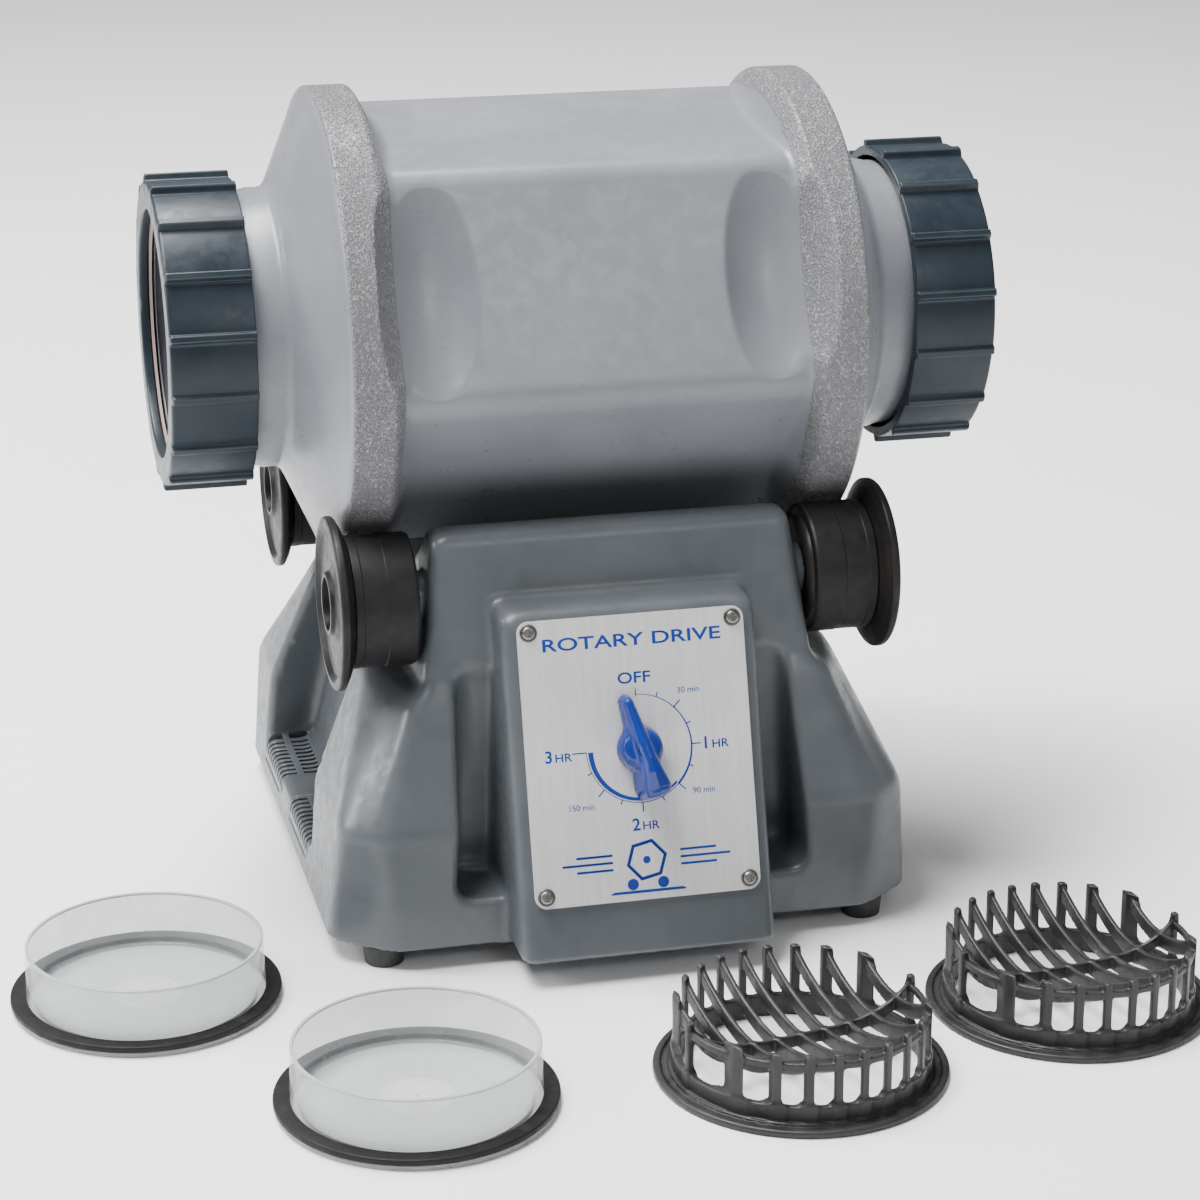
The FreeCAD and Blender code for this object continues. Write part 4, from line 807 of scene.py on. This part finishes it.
class Print:
    """Thin raised ink on the plate, gathered into one mesh."""

    def __init__(self):
        self.points = []
        self.faces = []

    def slab(self, outline):
        """Flat shape with a closed outline of (x, y)."""
        count = len(outline)
        first = len(self.points)
        for level in (PLATE_T - INK_UNDER, PLATE_T + INK_OVER):
            self.points += [(x, y, level) for x, y in outline]
        self.faces.append(tuple(first + count + i for i in range(count)))
        self.faces.append(tuple(first + i for i in reversed(range(count))))
        for i in range(count):
            j = (i + 1) % count
            self.faces.append((first + i, first + j, first + count + j, first + count + i))

    def bar(self, x_ends, y_ends):
        (left, right), (low, high) = x_ends, y_ends
        self.slab([(left, low), (right, low), (right, high), (left, high)])

    def arc(self, turns, radii, widths):
        """Curved band; turns run clockwise from the top, radius and width change from end to end."""
        steps = 48
        lines = ([], [])
        for i in range(steps + 1):
            share = i / steps
            angle = math.radians(between(turns, share))
            half = between(widths, share) / 2
            radius = between(radii, share)
            for line, r in zip(lines, (radius - half, radius + half)):
                line.append((r * math.sin(angle), r * math.cos(angle)))
        for i in range(steps):
            self.slab([lines[0][i], lines[0][i + 1], lines[1][i + 1], lines[1][i]])

    def tick(self, degrees, inner, outer, width):
        angle = math.radians(degrees)
        out = Vector((math.sin(angle), math.cos(angle)))
        side = Vector((out.y, -out.x)) * width / 2
        ends = (out * inner - side, out * outer - side, out * outer + side, out * inner + side)
        self.slab([(end.x, end.y) for end in ends])

    def words(self, text, x, y, cap, bold, width=None):
        """Text centred on (x, y) with capitals cap high, as wide as width or in proportion."""
        curve = bpy.data.curves.new("words", "FONT")
        curve.body = text
        curve.extrude = 0.01
        curve.offset = bold
        holder = bpy.data.objects.new("words", curve)
        bpy.context.scene.collection.objects.link(holder)
        bpy.context.view_layer.update()
        drawn = holder.evaluated_get(bpy.context.evaluated_depsgraph_get()).to_mesh()
        flat = np.array([v.co[:] for v in drawn.vertices])
        low, high = flat.min(0), flat.max(0)
        scale_y = cap / (high[1] - low[1])
        scale_x = width / (high[0] - low[0]) if width else scale_y
        middle = (low + high) / 2
        first = len(self.points)
        for px, py, pz in flat:
            level = PLATE_T + (INK_OVER if pz > 0 else -INK_UNDER)
            self.points.append(((px - middle[0]) * scale_x + x, (py - middle[1]) * scale_y + y, level))
        self.faces += [tuple(first + i for i in face.vertices) for face in drawn.polygons]
        bpy.data.objects.remove(holder)

    def mesh(self, name):
        points = on_plate(np.array(self.points)) * MM
        mesh = bpy.data.meshes.new(name)
        mesh.from_pydata(points.tolist(), [], self.faces)
        mesh.validate()
        return mesh


def ring_points(x, y, radius, count, turn=0.0):
    angles = (turn + FULL_TURN * i / count for i in range(count))
    return [(x + radius * math.cos(angle), y + radius * math.sin(angle)) for angle in angles]


def pictogram(ink):
    """Plain sign under the dial: a six-sided drum on two rollers over a base line, with speed lines."""
    outer, inner = (ring_points(0, SIGN_Y, radius, 6, math.radians(12)) for radius in (9.0, 7.4))
    for i in range(6):
        j = (i + 1) % 6
        ink.slab([inner[i], inner[j], outer[j], outer[i]])
    ink.slab(ring_points(0, SIGN_Y, 1.6, 24))
    for x in (-6.5, 6.5):
        ink.slab(ring_points(x, SIGN_Y - 9.8, 2.4, 32))
    for low, high, half in ((-13.6, -12.8, 16.0), (-12.8, -12.4, 15.0)):
        ink.bar((-half, half), (SIGN_Y + low, SIGN_Y + high))
    for side in (-1, 1):
        for lift in (-3.0, 0.0, 3.0):
            middle = SIGN_Y + lift
            ink.bar((side * 14.5, side * (36.0 - abs(lift) * 2)), (middle - 0.5, middle + 0.5))


def build_print():
    ink = Print()
    ink.words("ROTARY DRIVE", 0, 45.5, 5.4, 0.016, 76.0)
    ink.words("OFF", -0.2, 29.6, 4.8, 0.016, 14.0)
    for place in range(1, MARKS + 1):
        ink.tick(place * MARK_TURN, DIAL_R, DIAL_R + (4.0 if place % 2 == 0 else 2.0), 0.5)
    ink.tick(0, 22.0, 25.0, 0.4)
    ink.arc((0, 135), (DIAL_R, DIAL_R), (0.2, 1.0))
    ink.arc((135, 270), (DIAL_R, DIAL_R), (0.4, 0.3))
    ink.arc((135, 270), (21.4, 20.7), (0.9, 2.2))
    for text, x, y in (("1", 28.6, 0.0), ("2", -3.4, -31.5), ("3", -38.6, -0.5)):
        ink.words(text, x, y, 5.2, 0.02)
        ink.words("HR", x + 6.4, y - 0.7, 3.5, 0.014, 7.2)
    ink.tick(270, 26.0, 28.6, 0.5)
    for text, x, y in (("30 min", 22.5, 22.8), ("90 min", 26.5, -19.5), ("150 min", -26.0, -22.5)):
        ink.words(text, x, y, 2.5, 0.004)
    pictogram(ink)
    add_piece("plate_print", ink.mesh("plate_print"), M["knob_blue"], "base", weighted=False)


def build_screw_rings():
    """Dark cupped ring round the head of each plate screw."""
    line = np.array(rounded([(1.21, 2.85, 0), (1.7, 2.95, 0.15), (1.75, 3.5, 0.2), (1.21, 3.8, 0.1)], 3))
    turns = 40
    angle = even_angles(turns)[:, None]
    ring = np.stack([line[:, 1] * np.cos(angle), line[:, 1] * np.sin(angle), line[:, 0] + 0 * angle], axis=-1)
    points, faces = [], []
    for x in SCREW_XS:
        for y in SCREW_YS:
            faces += closed_grid(turns, len(line), first=sum(len(part) for part in points))
            points.append(on_plate(ring.reshape(-1, 3) + np.array([x, y, 0])))
    mesh = mesh_from("screw_rings", np.concatenate(points), faces)
    add_piece("plate_screw_rings", mesh, M["bracket_steel"], "base")


# ---- knob, about its own axis: pointer up +y, z out of the plate -----------------------------
KNOB_SPOTS = (-22.0, -20.5, -16.0, -9.0, -3.0, 3.0, 9.0, 16.0, 22.0, 24.2)
KNOB_HALF = (5.4, 6.9, 7.6, 6.2, 5.2, 4.9, 4.2, 3.6, 3.0, 2.0)             # half width at each spot
KNOB_CROWN = (13.0, 15.5, 17.6, 18.5, 18.3, 17.0, 14.5, 12.2, 10.6, 9.6)    # height at each spot
KNOB_FOOT_Z, KNOB_TIP_Y, KNOB_TAIL_Y = 2.0, 24.0, -21.6
KNOB_HUB_R, KNOB_HUB_Z = 9.9, 10.5
KNOB_RECESS_R, KNOB_RECESS_Z, KNOB_BORE_R, KNOB_BORE_Z = 8.3, 4.4, 3.05, 14.6


def knob_field(x, y, z):
    """Pointer knob: narrow tip up, bulged hub, wide grip down, with a ridge along its top."""
    half = np.interp(y, KNOB_SPOTS, KNOB_HALF)
    crown = np.interp(y, KNOB_SPOTS, KNOB_CROWN)
    rise = z - KNOB_FOOT_Z
    blade = smooth_max(np.abs(x) + 0.16 * rise - half, z + np.abs(x) * 0.35 - crown, 2.2)
    ends = smooth_max(y - KNOB_TIP_Y + 0.12 * z, KNOB_TAIL_Y - y + 0.12 * z, 1.0)
    blade = smooth_max(blade, ends, 3.0)
    radius = hypot(x, y)
    hub = smooth_max(radius - KNOB_HUB_R + 0.2 * rise, z - KNOB_HUB_Z + 0.09 * y, 4.0)
    body = smooth_max(smooth_min(blade, hub, 2.2), -rise, 0.6)
    recess = np.maximum(radius - KNOB_RECESS_R, z - KNOB_RECESS_Z)
    bore = np.maximum(radius - KNOB_BORE_R, z - KNOB_BORE_Z)
    return all_of(body, -recess, -bore)


def about_z(angle):
    """Matrix that turns rows of points anticlockwise, seen from above."""
    cos, sin = math.cos(angle), math.sin(angle)
    return np.array([[cos, sin, 0], [-sin, cos, 0], [0, 0, 1]])


def build_knob():
    skin = field_skin(knob_field, (-12, -24, 0.8), (12, 26, 20), 0.4, 0.02)
    spin = about_z(KNOB_REST)
    mesh = skin_mesh("knob", [skin], lambda points, normals: on_plate(points @ spin, normals @ spin))
    add_piece("knob_shape", mesh, M["knob_blue"], "timer_dial", ["timer_knob"], weighted=False)


# ---- loose closures --------------------------------------------------------------------------
CAGE_R, CAGE_WALL, TOP_Z, BAND_Z = 50.8, 3.0, 30.5, 9.3
BLADE_PITCH, BLADE_SIDE, BLADE_HALF, BLADE_DEEP, BLADE_TAPER = 10.7, 4, 1.15, 6.8, 0.035
DIP_Z = 15.5                                   # lowest point of the blades' top edges
POST_HALF, SPINE_HALF, SPINE_POST_HALF, SPINE_DEEP = 1.6, 1.1, 1.7, 5.5
HOOP_Z, HOOP_HALF, HOOP_INSET = 25.5, 1.5, 0.8
FLANGE_R, FLANGE_T, GROOVE, GROOVE_Z = 58.5, 3.0, (52.5, 55.3), 2.1
UNDERSIDE_Z = 0.05
STRAINER_TURNS = (("front", 12.0), ("right", 8.5))
LENS_TURNS = 160


def strainer_field(x, y, z):
    """Basket with blades along y and one spine across them, about its own middle."""
    radius = hypot(x, y)
    wall = np.maximum(radius - CAGE_R, CAGE_R - CAGE_WALL - radius)
    near = np.clip(np.round(x / BLADE_PITCH), -BLADE_SIDE, BLADE_SIDE) * BLADE_PITCH
    off = np.abs(x - near)
    half = np.sqrt((CAGE_R - 1) ** 2 - near ** 2)
    dip = between((DIP_Z, TOP_Z), (near / CAGE_R) ** 4)
    top = dip + (TOP_Z - dip) * np.minimum(y / half, 1.0) ** 2
    blade_ends = all_of(z - top, top - BLADE_DEEP - z, np.abs(y) - half)
    blade = smooth_max(off - BLADE_HALF + BLADE_TAPER * (top - z), blade_ends, 0.8)
    post_ends = np.maximum(wall, z - TOP_Z)
    posts = smooth_max(off - POST_HALF, post_ends, 0.8)
    spine_posts = smooth_max(np.abs(y) - SPINE_POST_HALF, post_ends, 0.8)
    spine_top = between((DIP_Z, TOP_Z), (np.abs(x) / CAGE_R) ** 4)
    spine_ends = all_of(z - spine_top, spine_top - SPINE_DEEP - z, radius - CAGE_R + 1)
    spine = smooth_max(np.abs(y) - SPINE_HALF, spine_ends, 0.8)
    band = smooth_max(wall, z - BAND_Z, 0.8)
    hoop = np.maximum(radius - CAGE_R + HOOP_INSET, CAGE_R - CAGE_WALL - radius)
    hoop = smooth_max(hoop, np.abs(z - HOOP_Z) - HOOP_HALF, 0.6)
    hoop = np.maximum(hoop, y - 1.0)              # only round the front half
    cage = smooth_min(band, np.minimum(posts, spine_posts), 3.0)
    cage = smooth_min(cage, smooth_min(np.minimum(blade, hoop), spine, 1.2), 1.0)
    flange = smooth_max(np.maximum(radius - FLANGE_R, CAGE_R - CAGE_WALL - radius), z - FLANGE_T, 1.2)
    groove = all_of(radius - GROOVE[1], GROOVE[0] - radius, GROOVE_Z - z)
    flange = smooth_max(flange, -groove, 0.8)
    return np.maximum(smooth_min(cage, flange, 0.8), UNDERSIDE_Z - z)


def build_strainers():
    skin = field_skin(strainer_field, (-60.0, -60.0, -0.8), (60.0, 60.0, 32.0), 0.72, 0.03)
    for place, turn in STRAINER_TURNS:
        node = "strainer_" + place
        middle = middle_of(node)
        spin = about_z(math.radians(turn))
        mesh = skin_mesh(node, [skin], lambda points, normals: (points @ spin + middle, normals @ spin))
        add_piece(node + "_shape", mesh, M["strainer_plastic"], "closure_" + node,
                  [node], weighted=False)


def build_lenses():
    """Clear cups with a frosted floor and a grey, mostly opaque ring on the rim as painted edge shade, each
    standing on its flat gasket.
    """
    cup = rounded([
        (0.0, 0.4, 0), (0.0, 54.9, 0.3), (2.1, 54.9, 0.6), (2.2, 49.0, 0.5), (25.9, 48.5, 0.5),
        (25.9, 46.9, 0.6), (3.0, 46.4, 1.5), (2.2, 0.4, 0)], 5)
    floor = [(2.3, 0.4), (2.3, 44.8), (2.45, 44.8), (2.45, 0.4)]
    rim = rounded([(24.9, 48.45, 0.3), (25.95, 48.45, 0.45), (25.95, 46.95, 0.45), (24.9, 46.95, 0.3)], 4)
    gasket = rounded([(2.25, 48.9, 0.2), (4.8, 48.9, 0.5), (4.8, 55.5, 1.0), (2.3, 55.5, 0.5)], 5)
    frost = clear_material("lens_frost", (0.5, 0.7), 0.8, 0.1, (0.55, 0.565, 0.565))
    # Painted shade: the rim ring's grey, mostly opaque colour stands in for the darker edge a clear wall
    # shows.
    rim_painted_shade = clear_material("lens_rim_shade", (0.1, 0.2), 0.75, 0.1, (0.5, 0.52, 0.53))
    for place in ("left", "front"):
        middle = middle_of("lens_" + place)
        body = "closure_lens_" + place
        mesh = lathe("lens_mesh_" + place, cup, "Z", middle, even_angles(LENS_TURNS))
        add_piece("lens_cup_" + place, mesh, M["clear_plastic"], body, ["lens_" + place])
        mesh = lathe("frost_mesh_" + place, floor, "Z", middle, even_angles(96))
        add_piece("lens_frost_" + place, mesh, frost, body)
        # Ring of painted shade along the top edge of the cup.
        mesh = lathe("rim_mesh_" + place, rim, "Z", middle, even_angles(LENS_TURNS))
        add_piece("lens_rim_shade_" + place, mesh, rim_painted_shade, body)
        mesh = lathe("gasket_mesh_" + place, gasket, "Z", middle, even_angles(LENS_TURNS))
        add_piece("gasket_" + place, mesh, M["seal_rubber"], body, ["lens_gasket_" + place])


# ---- camera, light and floor: places and light sizes in metres, powers in watts --------------
CAMERA_AT, CAMERA_DOWN, CAMERA_ASIDE = (-0.3118, -1.3528, 0.589), 0.331, 0.239    # radians
CAMERA_LENS = 97.15
FLOOR_HALF = 6000.0
WORLD_STRENGTH = 0.3
# name, place, size, power, point aimed at
LIGHTS = (
    ("top", (-0.6, 0.3, 2.6), (2.4, 1.0), 215, (0, -0.1, 0.0)),
    ("left", (-1.7, 0.4, 1.0), (0.4, 0.9), 26, (0, 0, 0.25)),
    ("front", (0.4, -2.2, 1.5), (0.8, 0.4), 8, (0, -0.2, 0.0)),
)


def build_camera():
    data = bpy.data.cameras.new("camera")
    data.lens = CAMERA_LENS
    data.sensor_width = 36.0
    data.clip_end = 20.0
    camera = bpy.data.objects.new("camera", data)
    camera.location = CAMERA_AT
    camera.rotation_euler = (math.pi / 2 - CAMERA_DOWN, 0, -CAMERA_ASIDE)
    bpy.context.scene.collection.objects.link(camera)
    bpy.context.scene.camera = camera


def build_light(name, place, size, power, aim):
    data = bpy.data.lights.new(name, "AREA")
    data.shape = "RECTANGLE"
    data.size, data.size_y = size
    data.energy = power
    lamp = bpy.data.objects.new(name, data)
    lamp.location = place
    lamp.rotation_euler = (Vector(aim) - Vector(place)).to_track_quat("-Z", "Y").to_euler()
    bpy.context.scene.collection.objects.link(lamp)


def build_floor():
    s = Surface("floor_paint")
    s.colour(s.mix(s.noise(300.0), (0.94, 0.94, 0.945), (0.96, 0.96, 0.965)))
    s.rough(s.spread(s.noise(200.0), 0.7, 0.8))
    square = [(x * FLOOR_HALF, y * FLOOR_HALF, 0) for x, y in ((-1, -1), (1, -1), (1, 1), (-1, 1))]
    mesh = mesh_from("floor", square, [(0, 1, 2, 3)])
    mesh.materials.append(s.material)
    floor = bpy.data.objects.new("floor", mesh)
    bpy.context.scene.collection.objects.link(floor)


def build_stage():
    build_floor()
    world = bpy.data.worlds.new("studio")
    bpy.context.scene.world = world
    world.use_nodes = True
    sky = world.node_tree.nodes["Background"]
    sky.inputs["Color"].default_value = (1.0, 1.0, 1.0, 1.0)
    sky.inputs["Strength"].default_value = WORLD_STRENGTH
    for light in LIGHTS:
        build_light(*light)


build_camera()
build_stage()
dress_cad()
build_drum()
build_caps()
build_base()
build_rollers()
build_print()
build_screw_rings()
build_knob()
build_strainers()
build_lenses()

bpy.context.view_layer.update()
